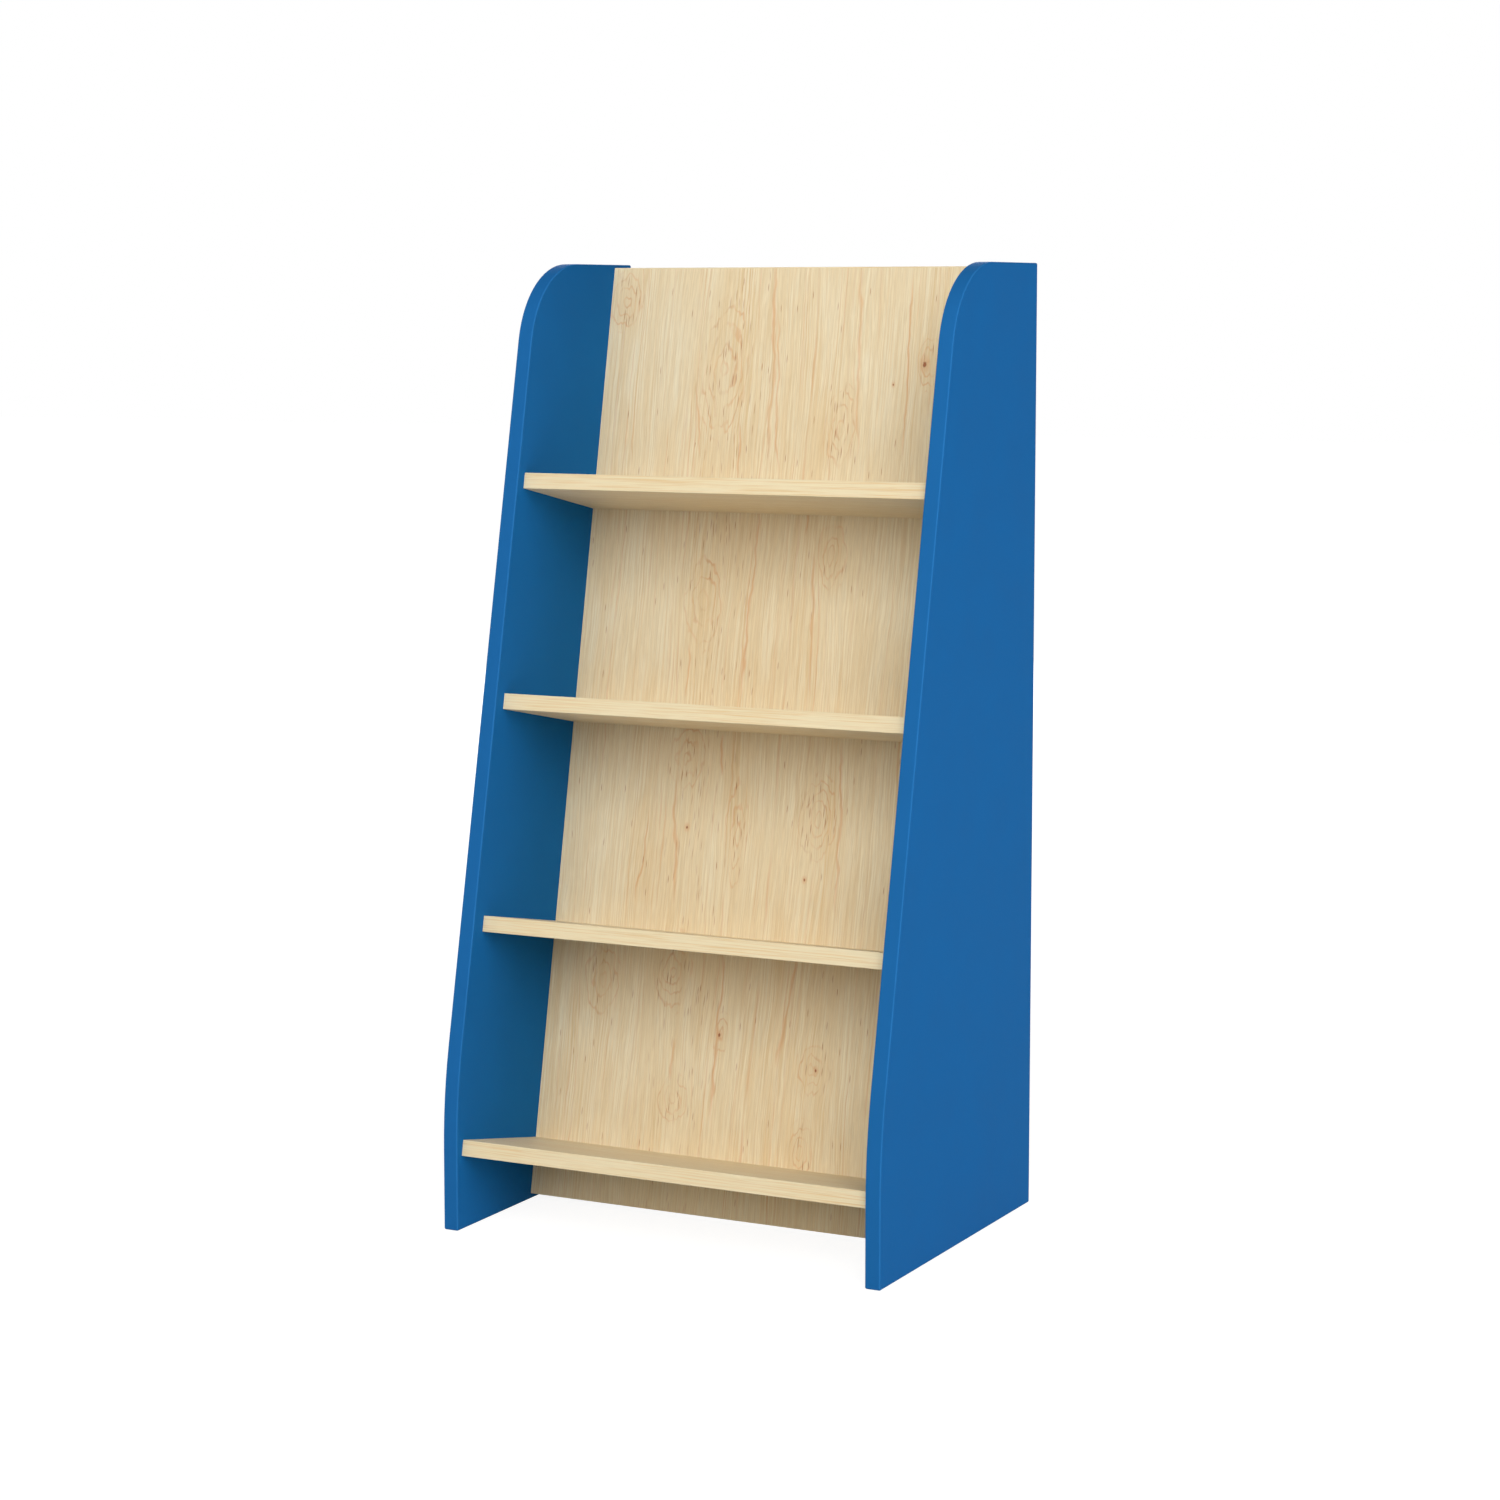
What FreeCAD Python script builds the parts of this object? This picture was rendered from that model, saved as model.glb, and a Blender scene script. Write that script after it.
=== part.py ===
import FreeCAD, Part
import math
import os
import re
import Sketcher

# Angled display bookcase: two profiled side boards, a back panel that leans back between
# them, and shelves square to it, so that books stand face out and tip back. Every free
# edge of a board carries an edging strip. Millimetres, +Z up, front towards -Y, with the
# origin on the floor in the middle of the footprint.

SIZES = {
    # Whole bookcase
    "overall_width": 750,
    "overall_depth": 570,
    "overall_height": 1500,
    "board_thickness": 25,
    # Outline of a side: upright toe, long lean, rounded crown
    "toe_height": 127,
    "toe_radius": 790,
    "front_lean": 11.8,
    "crown_radius": 151,
    "corner_radius": 3,
    "side_edging_thickness": 3,
    "side_arris_radius": 2.5,
    # Back panel
    "back_lean": 11.1,
    "back_foot_gap": 4,
    "back_top_drop": 5,
    "back_rear_margin": 31,
    # Shelves, measured up the back panel from the floor
    "shelf_count": 4,
    "first_shelf_rise": 100,
    "top_bay_height": 373.5,
    "shelf_front_setback": 19,
    # Edging of the shelves and the back panel
    "maple_edging_thickness": 2,
    "maple_arris_radius": 1,
    # Wooden dowels between the boards and the sides
    "dowel_diameter": 8,
    "dowel_length": 35,
    "dowel_side_grip": 12,
    "dowel_chamfer": 0.8,
    "dowel_end_gap": 0.5,
    "shelf_dowel_count": 3,
    "shelf_dowel_inset": 32,
    "panel_dowel_count": 5,
    "panel_dowel_inset": 60,
    # Screws from behind, through the back panel into the shelves
    "shelf_screw_count": 3,
    "screw_inset": 75,
    "screw_length": 50,
    "screw_diameter": 6,
    "screw_tip_length": 4,
    "screw_head_diameter": 10,
    "screw_head_height": 3.5,
    "socket_width": 4,
    "socket_depth": 2.8,
    "bore_clearance": 0.1,
    # Push-in caps over the screw heads
    "cap_diameter": 14,
    "cap_thickness": 1.6,
    "cap_rim_chamfer": 0.6,
    "cap_stub_diameter": 3.6,
    "cap_stub_length": 2.2,
    # An arris stays inside its strip by this share, and cuts run past the board by this
    "arris_limit_share": 0.9,
    "overrun": 20,
}

# Values worked out from the sizes. panel_line is where the front face of the back panel
# would meet the floor, measured from the front of the sides; the rises up the panel
# start from there.
WORKED_OUT = {
    "inner_half": "overall_width / 2 - board_thickness",
    "toe_end_y": "toe_radius * (1 - cos(front_lean))",
    "toe_end_z": "toe_height + toe_radius * sin(front_lean)",
    "crown_z": "overall_height - crown_radius",
    "crown_rise": "crown_z - toe_end_z",
    "crown_y": "toe_end_y + (crown_radius + crown_rise * sin(front_lean)) / cos(front_lean)",
    "side_arris": "min(side_arris_radius; side_edging_thickness * arris_limit_share)",
    "maple_arris": "min(maple_arris_radius; maple_edging_thickness * arris_limit_share)",
    "panel_top": "(overall_height - back_top_drop) / cos(back_lean)",
    "panel_foot": "(back_foot_gap + board_thickness * sin(back_lean)) / cos(back_lean)",
    "panel_reach": "panel_top * sin(back_lean) + board_thickness * cos(back_lean)",
    "panel_line": "overall_depth - back_rear_margin - panel_reach",
    "shelf_pitch": "(panel_top - top_bay_height - first_shelf_rise) / (shelf_count - 1)",
    "shelf_run": "panel_line + first_shelf_rise * sin(back_lean) - shelf_front_setback",
    "shelf_depth": "shelf_run / cos(back_lean)",
    "dowel_bore": "dowel_diameter + bore_clearance",
    "dowel_board_grip": "dowel_length - dowel_side_grip",
    "shelf_dowel_spacing": "(shelf_depth - 2 * shelf_dowel_inset) / (shelf_dowel_count - 1)",
    "panel_dowel_spacing": "(panel_top - panel_foot - 2 * panel_dowel_inset) / (panel_dowel_count - 1)",
    "first_screw_x": "screw_inset - inner_half",
    "screw_spacing": "2 * (inner_half - screw_inset) / (shelf_screw_count - 1)",
    "screw_bore": "screw_diameter + bore_clearance",
    "first_shelf_middle": "first_shelf_rise - board_thickness / 2",
}

# Lengths closer than this count as equal when edges are picked
TOUCH = 0.001
HEXAGON_CORNERS = 6
FULL_TURN = 360
NORMAL = FreeCAD.Vector(0, 0, 1)
LEAN_AXIS = FreeCAD.Vector(-1, 0, 0)

doc = FreeCAD.newDocument("angled_bookcase")
pieces = []
solids_wanted = {}


def fill_sheet(name, cells):
    sheet = doc.addObject("Spreadsheet::Sheet", name)
    for row, (alias, content) in enumerate(cells.items(), 1):
        sheet.set(f"A{row}", alias)
        sheet.set(f"B{row}", content)
        sheet.setAlias(f"B{row}", alias)
    doc.recompute()
    return sheet


def bound(text):
    """Writes each size in an expression as a cell of its sheet."""

    def cell(found):
        word = found.group(0)
        if word in SIZES:
            return f"sizes.{word}"
        if word in WORKED_OUT:
            return f"worked_out.{word}"
        return word

    return re.sub(r"[a-z][a-z_]*", cell, text)


sizes = fill_sheet("sizes", {alias: str(value) for alias, value in SIZES.items()})
formulas = {alias: "=" + bound(text) for alias, text in WORKED_OUT.items()}
worked_out = fill_sheet("worked_out", formulas)


def measure(text):
    """The present value of an expression in the named sizes."""
    return float(sizes.evalExpression(bound(text)))


def bind(thing, path, text):
    thing.setExpression(path, bound(text))


def new_piece(name, solid_count=1):
    body = doc.addObject("PartDesign::Body", name)
    body.Label = name
    body.AllowCompound = solid_count > 1
    pieces.append(body)
    solids_wanted[name] = solid_count
    return body


def stand_upright(body, x):
    """Frame of a side: origin on the floor at the front, on the side's inner face."""
    bind(body, "Placement.Base.x", x)
    bind(body, "Placement.Base.y", "-overall_depth / 2")


def lean_back(body, rise):
    """Frame on the front face of the back panel: Y goes back square to it, Z up along it."""
    turn = FreeCAD.Rotation(LEAN_AXIS, measure("back_lean"))
    body.Placement = FreeCAD.Placement(FreeCAD.Vector(), turn)
    bind(body, "Placement.Rotation.Angle", "back_lean")
    bind(body, "Placement.Base.y", f"panel_line - overall_depth / 2 + ({rise}) * sin(back_lean)")
    bind(body, "Placement.Base.z", f"({rise}) * cos(back_lean)")


def origin_part(body, role):
    for feature in body.Origin.OriginFeatures:
        if feature.Role == role:
            return feature
    raise ValueError(role)


def new_sketch(body, plane, x="0", y="0", out="0"):
    """A sketch on an origin plane, its own origin moved by x and y, and out along its normal."""
    sketch = body.newObject("Sketcher::SketchObject", body.Name + "_sketch")
    sketch.AttachmentSupport = (origin_part(body, plane), [""])
    sketch.MapMode = "FlatFace"
    for axis, text in (("x", x), ("y", y), ("z", out)):
        bind(sketch, f"AttachmentOffset.Base.{axis}", text)
    return sketch


def hold(sketch, constraint, text):
    """Adds a constraint and ties its value to an expression."""
    number = sketch.addConstraint(constraint)
    name = f"size_{number}"
    sketch.renameConstraint(number, name)
    bind(sketch, f"Constraints.{name}", text)


def pin(sketch, edge, point, x=None, y=None):
    """Ties a point of an edge to its place from the sketch's origin."""
    for kind, text in (("DistanceX", x), ("DistanceY", y)):
        if text is not None:
            hold(sketch, Sketcher.Constraint(kind, -1, 1, edge, point, measure(text)), text)


def draw_polygon(sketch, corners):
    points = [FreeCAD.Vector(measure(x), measure(y), 0) for x, y in corners]
    count = len(points)
    for number, point in enumerate(points):
        sketch.addGeometry(Part.LineSegment(point, points[(number + 1) % count]))
    for number, (x, y) in enumerate(corners):
        before = (number - 1) % count
        sketch.addConstraint(Sketcher.Constraint("Coincident", before, 2, number, 1))
        pin(sketch, number, 1, x, y)


def draw_circle(sketch, x, y, diameter):
    centre = FreeCAD.Vector(measure(x), measure(y), 0)
    number = sketch.addGeometry(Part.Circle(centre, NORMAL, measure(diameter) / 2))
    hold(sketch, Sketcher.Constraint("Diameter", number, measure(diameter)), diameter)
    pin(sketch, number, 3, x, y)


def draw_arc(sketch, y, z, radius, start, end):
    centre = FreeCAD.Vector(measure(y), measure(z), 0)
    arc = Part.ArcOfCircle(Part.Circle(centre, NORMAL, measure(radius)), start, end)
    number = sketch.addGeometry(arc)
    hold(sketch, Sketcher.Constraint("Radius", number, measure(radius)), radius)
    return number, arc


def draw_side_outline(sketch, inset, low, rear):
    """The outline of a side, drawn in by inset at the front, crown and top.

    low and rear are the heights and depths of its straight floor edge and rear edge.
    """
    top = f"overall_height - ({inset})"
    lean = math.radians(measure("front_lean"))
    toe, toe_arc = draw_arc(
        sketch, "toe_radius", "toe_height", f"toe_radius - ({inset})", math.pi - lean, math.pi
    )
    crown, crown_arc = draw_arc(
        sketch, "crown_y", "crown_z", f"crown_radius - ({inset})", math.pi / 2, math.pi - lean
    )
    front_foot = FreeCAD.Vector(measure(inset), measure(low), 0)
    rear_foot = FreeCAD.Vector(measure(rear), measure(low), 0)
    rear_head = FreeCAD.Vector(measure(rear), measure(top), 0)
    slope_line = sketch.addGeometry(Part.LineSegment(toe_arc.StartPoint, crown_arc.EndPoint))
    front_line = sketch.addGeometry(Part.LineSegment(toe_arc.EndPoint, front_foot))
    floor_line = sketch.addGeometry(Part.LineSegment(front_foot, rear_foot))
    rear_line = sketch.addGeometry(Part.LineSegment(rear_foot, rear_head))
    top_line = sketch.addGeometry(Part.LineSegment(rear_head, crown_arc.StartPoint))
    for joint in (
        ("Coincident", front_line, 2, floor_line, 1),
        ("Coincident", floor_line, 2, rear_line, 1),
        ("Coincident", rear_line, 2, top_line, 1),
        ("Tangent", top_line, 2, crown, 1),
        ("Tangent", crown, 2, slope_line, 2),
        ("Tangent", slope_line, 1, toe, 1),
        ("Tangent", toe, 2, front_line, 1),
        ("Horizontal", floor_line),
        ("Horizontal", top_line),
        ("Vertical", rear_line),
        ("Vertical", front_line),
    ):
        sketch.addConstraint(Sketcher.Constraint(*joint))
    pin(sketch, floor_line, 1, inset, low)
    pin(sketch, rear_line, 1, x=rear)
    pin(sketch, top_line, 1, y=top)
    pin(sketch, toe, 2, y="toe_height")
    hold(sketch, Sketcher.Constraint("Angle", slope_line, math.pi / 2 - lean), "90 - front_lean")


def add_pad(body, sketch, length, backwards=False):
    pad = body.newObject("PartDesign::Pad", body.Name + "_pad")
    pad.Profile = sketch
    pad.Reversed = backwards
    bind(pad, "Length", length)
    doc.recompute()


def add_cut(body, sketch, depth, along_normal):
    """A pocket that goes along the sketch's normal, or against it."""
    volume = body.Shape.Volume
    cut = body.newObject("PartDesign::Pocket", body.Name + "_cut")
    cut.Profile = sketch
    cut.Reversed = along_normal
    bind(cut, "Length", depth)
    doc.recompute()
    if body.Shape.Volume >= volume:
        raise ValueError(f"{cut.Name} removes nothing")
    return cut


def add_turned(body, sketch):
    """A piece turned on a lathe about the sketch's horizontal axis."""
    turned = body.newObject("PartDesign::Revolution", body.Name + "_turned")
    turned.Profile = sketch
    turned.ReferenceAxis = (sketch, ["H_Axis"])
    doc.recompute()
    return turned


def add_rounding(body, radius, wanted):
    """Rounds the edges of the body that pass the test."""
    base = body.Tip
    edges = [f"Edge{number}" for number, edge in enumerate(base.Shape.Edges, 1) if wanted(edge)]
    rounding = body.newObject("PartDesign::Fillet", body.Name + "_rounding")
    rounding.Base = (base, edges)
    bind(rounding, "Radius", radius)
    doc.recompute()


def repeat(body, features, rows, mirrored=False):
    """Repeats features along each (direction, spacing, count) in turn, and across the middle."""
    holder = body.newObject("PartDesign::MultiTransform", body.Name + "_repeat")
    holder.Originals = features
    steps = []
    for direction, spacing, count in rows:
        row = body.newObject("PartDesign::LinearPattern", body.Name + "_row")
        row.Direction = direction
        row.Mode = "Spacing"
        bind(row, "Offset", spacing)
        bind(row, "Occurrences", count)
        steps.append(row)
    if mirrored:
        mirror = body.newObject("PartDesign::Mirrored", body.Name + "_mirror")
        mirror.MirrorPlane = (origin_part(body, "YZ_Plane"), [""])
        steps.append(mirror)
    holder.Transformations = steps
    body.Tip = holder
    doc.recompute()


def along(body, role):
    return (origin_part(body, role), [""])


# Sides


def start_side(name, hand, inset, low, rear):
    """The full thickness of a side, its inner face at X 0 and growing outwards."""
    body = new_piece(name)
    stand_upright(body, f"{hand} * inner_half")
    sketch = new_sketch(body, "YZ_Plane")
    draw_side_outline(sketch, inset, low, rear)
    add_pad(body, sketch, "board_thickness", backwards=hand < 0)
    return body


def cut_side(body, hand, draw, *outline):
    """Cuts an outline out of the whole thickness of a side."""
    sketch = new_sketch(body, "YZ_Plane")
    draw(sketch, *outline)
    add_cut(body, sketch, "board_thickness + overrun", along_normal=hand > 0)


def new_side_board(name, hand):
    """The core board of a side, inside its edging, with its dowel bores."""
    edging = "side_edging_thickness"
    body = start_side(name, hand, edging, edging, f"overall_depth - {edging}")
    for x, y, rows in (
        (
            "shelf_dowel_inset - shelf_depth",
            "first_shelf_middle",
            (
                ("H_Axis", "shelf_dowel_spacing", "shelf_dowel_count"),
                ("V_Axis", "shelf_pitch", "shelf_count"),
            ),
        ),
        (
            "board_thickness / 2",
            "panel_foot + panel_dowel_inset",
            (("V_Axis", "panel_dowel_spacing", "panel_dowel_count"),),
        ),
    ):
        sketch = new_sketch(body, "YZ_Plane", x="panel_line")
        turn = FreeCAD.Rotation(-NORMAL, measure("back_lean"))
        sketch.AttachmentOffset = FreeCAD.Placement(FreeCAD.Vector(), turn)
        bind(sketch, "AttachmentOffset.Rotation.Angle", "back_lean")
        draw_circle(sketch, x, y, "dowel_bore")
        bore = add_cut(body, sketch, "dowel_side_grip + dowel_end_gap", along_normal=hand > 0)
        repeat(body, [bore], [((sketch, [axis]), spacing, count) for axis, spacing, count in rows])


def start_side_edging(name, hand):
    """A whole side with its corners eased and its arrises rounded, to cut a strip from."""
    body = start_side(name, hand, "0", "0", "overall_depth")
    depth = measure("overall_depth")
    height = measure("overall_height")
    corners = ((0, 0), (depth, 0), (depth, height))

    def at_corner(edge):
        middle = edge.CenterOfMass
        return edge.BoundBox.XLength > TOUCH and any(
            math.hypot(middle.y - y, middle.z - z) < TOUCH for y, z in corners
        )

    add_rounding(body, "corner_radius", at_corner)
    add_rounding(body, "side_arris", lambda edge: edge.BoundBox.XLength < TOUCH)
    return body


def new_side_front_edging(name, hand):
    """Up the front, round the crown and back along the top, covering the top rear corner."""
    body = start_side_edging(name, hand)
    behind = "overall_depth + overrun"
    cut_side(body, hand, draw_side_outline, "side_edging_thickness", "-overrun", behind)


def new_side_rear_edging(name, hand):
    """Down the rear edge, from under the top strip to the floor."""
    body = start_side_edging(name, hand)
    face = "overall_depth - side_edging_thickness"
    under = "overall_height - side_edging_thickness"
    outside = "overall_depth + overrun"
    over = "overall_height + overrun"
    rest = (
        ("-overrun", "-overrun"),
        (face, "-overrun"),
        (face, under),
        (outside, under),
        (outside, over),
        ("-overrun", over),
    )
    cut_side(body, hand, draw_polygon, rest)


def new_side_base_edging(name, hand):
    """Along the floor edge, between the front and rear strips."""
    body = start_side_edging(name, hand)
    edging = "side_edging_thickness"
    face = "overall_depth - side_edging_thickness"
    outside = "overall_depth + overrun"
    over = "overall_height + overrun"
    rest = (
        ("-overrun", "-overrun"),
        (edging, "-overrun"),
        (edging, edging),
        (face, edging),
        (face, "-overrun"),
        (outside, "-overrun"),
        (outside, over),
        ("-overrun", over),
    )
    cut_side(body, hand, draw_polygon, rest)


# Shelves. In a shelf's frame the top face is at Z 0 and the rear edge at Y 0.


def draw_board_face(sketch, front, rear):
    draw_polygon(
        sketch,
        (
            ("-inner_half", front),
            ("inner_half", front),
            ("inner_half", rear),
            ("-inner_half", rear),
        ),
    )


def new_shelf_board(name, rise):
    body = new_piece(name)
    lean_back(body, rise)
    face = new_sketch(body, "XY_Plane")
    draw_board_face(face, "maple_edging_thickness - shelf_depth", "0")
    add_pad(body, face, "board_thickness", backwards=True)

    end = new_sketch(body, "YZ_Plane", out="inner_half")
    draw_circle(end, "shelf_dowel_inset - shelf_depth", "-board_thickness / 2", "dowel_bore")
    dowel_bore = add_cut(body, end, "dowel_board_grip + dowel_end_gap", along_normal=False)
    dowel_row = (along(body, "Y_Axis"), "shelf_dowel_spacing", "shelf_dowel_count")
    repeat(body, [dowel_bore], [dowel_row], mirrored=True)

    rear = new_sketch(body, "XZ_Plane")
    draw_circle(rear, "first_screw_x", "-board_thickness / 2", "screw_bore")
    reach = "screw_length - board_thickness + dowel_end_gap"
    screw_bore = add_cut(body, rear, reach, along_normal=True)
    screw_row = (along(body, "X_Axis"), "screw_spacing", "shelf_screw_count")
    repeat(body, [screw_bore], [screw_row])


def new_shelf_edging(name, rise):
    body = new_piece(name)
    lean_back(body, rise)
    face = new_sketch(body, "XY_Plane")
    draw_board_face(face, "-shelf_depth", "maple_edging_thickness - shelf_depth")
    add_pad(body, face, "board_thickness", backwards=True)
    front = measure("-shelf_depth")
    round_long_edges(body, lambda middle: middle.y < front + TOUCH)


def round_long_edges(body, wanted):
    """Rounds the edges from side to side whose middle passes the test."""

    def chosen(edge):
        return edge.BoundBox.XLength > measure("inner_half") and wanted(edge.CenterOfMass)

    add_rounding(body, "maple_arris", chosen)


# Back panel. In its frame the front face is at Y 0 and Z goes up the panel from the floor line.


def new_panel_board():
    body = new_piece("back_panel_board")
    lean_back(body, "0")
    face = new_sketch(body, "XZ_Plane")
    edging = "maple_edging_thickness"
    draw_board_face(face, f"panel_foot + {edging}", f"panel_top - {edging}")
    add_pad(body, face, "board_thickness", backwards=True)

    end = new_sketch(body, "YZ_Plane", out="inner_half")
    draw_circle(end, "board_thickness / 2", "panel_foot + panel_dowel_inset", "dowel_bore")
    dowel_bore = add_cut(body, end, "dowel_board_grip + dowel_end_gap", along_normal=False)
    dowel_column = (along(body, "Z_Axis"), "panel_dowel_spacing", "panel_dowel_count")
    repeat(body, [dowel_bore], [dowel_column], mirrored=True)

    bores = []
    for diameter, depth in (
        ("screw_bore", "board_thickness + overrun"),
        ("screw_head_diameter + bore_clearance", "screw_head_height"),
    ):
        rear = new_sketch(body, "XZ_Plane", out="-board_thickness")
        draw_circle(rear, "first_screw_x", "first_shelf_middle", diameter)
        bores.append(add_cut(body, rear, depth, along_normal=True))
    repeat(body, bores, screw_rows(body))


def new_panel_edging(name, low, high, outer_edge):
    body = new_piece(name)
    lean_back(body, "0")
    face = new_sketch(body, "XZ_Plane")
    draw_board_face(face, low, high)
    add_pad(body, face, "board_thickness", backwards=True)
    outer = measure(outer_edge)
    round_long_edges(body, lambda middle: abs(middle.z - outer) < TOUCH)


# Dowels, screws and caps: one is turned, then repeated where the boards have its bores


def screw_rows(body):
    return [
        (along(body, "X_Axis"), "screw_spacing", "shelf_screw_count"),
        (along(body, "Z_Axis"), "shelf_pitch", "shelf_count"),
    ]


def new_dowels(name, y, z, rows, solid_count):
    """Chamfered dowels across the joint between a side and what it carries."""
    body = new_piece(name, solid_count)
    lean_back(body, "0")
    inner_end = "inner_half - dowel_board_grip"
    outer_end = "inner_half + dowel_side_grip"
    radius = "dowel_diameter / 2"
    sketch = new_sketch(body, "XZ_Plane", y=z, out=f"-({y})")
    draw_polygon(
        sketch,
        (
            (inner_end, "0"),
            (inner_end, f"{radius} - dowel_chamfer"),
            (f"{inner_end} + dowel_chamfer", radius),
            (f"{outer_end} - dowel_chamfer", radius),
            (outer_end, f"{radius} - dowel_chamfer"),
            (outer_end, "0"),
        ),
    )
    dowel = add_turned(body, sketch)
    grid = [(along(body, axis), spacing, count) for axis, spacing, count in rows]
    repeat(body, [dowel], grid, mirrored=True)


def new_screws(solid_count):
    """Flat headed screws, heads flush with the rear of the back panel, points in the shelves."""
    body = new_piece("shelf_screws", solid_count)
    lean_back(body, "0")
    head_face = "board_thickness"
    seat = f"{head_face} - screw_head_height"
    point = f"{head_face} - screw_length"
    sketch = new_sketch(body, "YZ_Plane", y="first_shelf_middle", out="first_screw_x")
    draw_polygon(
        sketch,
        (
            (head_face, "0"),
            (head_face, "screw_head_diameter / 2"),
            (seat, "screw_head_diameter / 2"),
            (seat, "screw_diameter / 2"),
            (f"{point} + screw_tip_length", "screw_diameter / 2"),
            (point, "0"),
        ),
    )
    screw = add_turned(body, sketch)
    socket_sketch = new_sketch(
        body, "XZ_Plane", x="first_screw_x", y="first_shelf_middle", out=f"-{head_face}"
    )
    turns = [corner * FULL_TURN // HEXAGON_CORNERS for corner in range(HEXAGON_CORNERS)]
    corner_reach = f"socket_width / 2 / cos({FULL_TURN / HEXAGON_CORNERS / 2})"
    draw_polygon(
        socket_sketch,
        [(f"{corner_reach} * cos({turn})", f"{corner_reach} * sin({turn})") for turn in turns],
    )
    socket = add_cut(body, socket_sketch, "socket_depth", along_normal=True)
    repeat(body, [screw, socket], screw_rows(body))


def new_caps(solid_count):
    """Caps on the rear of the back panel, each with a stub in the screw's socket."""
    body = new_piece("screw_caps", solid_count)
    lean_back(body, "0")
    seat = "board_thickness"
    crown = f"{seat} + cap_thickness"
    sketch = new_sketch(body, "YZ_Plane", y="first_shelf_middle", out="first_screw_x")
    draw_polygon(
        sketch,
        (
            (f"{seat} - cap_stub_length", "0"),
            (f"{seat} - cap_stub_length", "cap_stub_diameter / 2"),
            (seat, "cap_stub_diameter / 2"),
            (seat, "cap_diameter / 2"),
            (f"{crown} - cap_rim_chamfer", "cap_diameter / 2"),
            (crown, "cap_diameter / 2 - cap_rim_chamfer"),
            (crown, "0"),
        ),
    )
    repeat(body, [add_turned(body, sketch)], screw_rows(body))


def build():
    shelf_count = SIZES["shelf_count"]
    for side, hand in (("left", -1), ("right", 1)):
        new_side_board(f"{side}_side_board", hand)
        new_side_front_edging(f"{side}_side_front_edging", hand)
        new_side_rear_edging(f"{side}_side_rear_edging", hand)
        new_side_base_edging(f"{side}_side_base_edging", hand)
    for number in range(shelf_count):
        rise = f"first_shelf_rise + {number} * shelf_pitch"
        new_shelf_board(f"shelf_{number + 1}_board", rise)
        new_shelf_edging(f"shelf_{number + 1}_edging", rise)
    new_panel_board()
    new_panel_edging(
        "back_panel_top_edging", "panel_top - maple_edging_thickness", "panel_top", "panel_top"
    )
    new_panel_edging(
        "back_panel_base_edging", "panel_foot", "panel_foot + maple_edging_thickness", "panel_foot"
    )
    new_dowels(
        "shelf_dowels",
        "shelf_dowel_inset - shelf_depth",
        "first_shelf_middle",
        (
            ("Y_Axis", "shelf_dowel_spacing", "shelf_dowel_count"),
            ("Z_Axis", "shelf_pitch", "shelf_count"),
        ),
        2 * SIZES["shelf_dowel_count"] * shelf_count,
    )
    new_dowels(
        "back_panel_dowels",
        "board_thickness / 2",
        "panel_foot + panel_dowel_inset",
        (("Z_Axis", "panel_dowel_spacing", "panel_dowel_count"),),
        2 * SIZES["panel_dowel_count"],
    )
    screw_count = SIZES["shelf_screw_count"] * shelf_count
    new_screws(screw_count)
    new_caps(screw_count)


def check():
    doc.recompute()
    for thing in doc.Objects:
        if {"Invalid", "Error"} & set(thing.State):
            raise RuntimeError(f"{thing.Name} failed")
    for piece in pieces:
        shape = piece.Shape
        if shape.isNull() or not shape.isValid():
            raise RuntimeError(f"{piece.Label} has no valid shape")
        if len(shape.Solids) != solids_wanted[piece.Label]:
            raise RuntimeError(f"{piece.Label} has {len(shape.Solids)} solids")


def write():
    os.makedirs("parts", exist_ok=True)
    for piece in pieces:
        piece.Shape.exportStep(f"parts/{piece.Label}.step")
        print(f"{piece.Label}: {len(piece.Shape.Solids)} solid(s), {piece.Shape.Volume:.0f} mm3")


build()
check()
write()
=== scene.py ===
import inspect
import math

import bmesh
import bpy
from bpy.props import FloatProperty, FloatVectorProperty, PointerProperty
from mathutils import Euler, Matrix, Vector


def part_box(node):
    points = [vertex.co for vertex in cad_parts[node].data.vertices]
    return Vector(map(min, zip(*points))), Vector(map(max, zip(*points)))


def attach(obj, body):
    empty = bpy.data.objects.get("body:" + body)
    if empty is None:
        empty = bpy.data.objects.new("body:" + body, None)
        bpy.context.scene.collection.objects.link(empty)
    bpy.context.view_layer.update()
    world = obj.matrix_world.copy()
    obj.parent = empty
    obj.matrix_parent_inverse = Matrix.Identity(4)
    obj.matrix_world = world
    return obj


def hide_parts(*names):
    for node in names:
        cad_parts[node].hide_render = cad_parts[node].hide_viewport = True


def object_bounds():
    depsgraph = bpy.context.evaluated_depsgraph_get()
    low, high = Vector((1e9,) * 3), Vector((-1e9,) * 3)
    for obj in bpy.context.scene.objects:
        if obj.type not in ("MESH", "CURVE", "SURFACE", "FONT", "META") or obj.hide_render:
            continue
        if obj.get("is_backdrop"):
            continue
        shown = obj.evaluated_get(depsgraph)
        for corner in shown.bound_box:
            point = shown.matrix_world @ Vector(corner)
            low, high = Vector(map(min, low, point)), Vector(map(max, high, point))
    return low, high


bl_info = {
    "name": "Angled Bookcase",
    "version": (1, 0, 0),
    "blender": (4, 5, 0),
    "location": "View3D > Sidebar > Bookcase",
    "description": "Finishes the boards, edging and fastenings of an angled display bookcase",
    "category": "Object",
}

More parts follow.
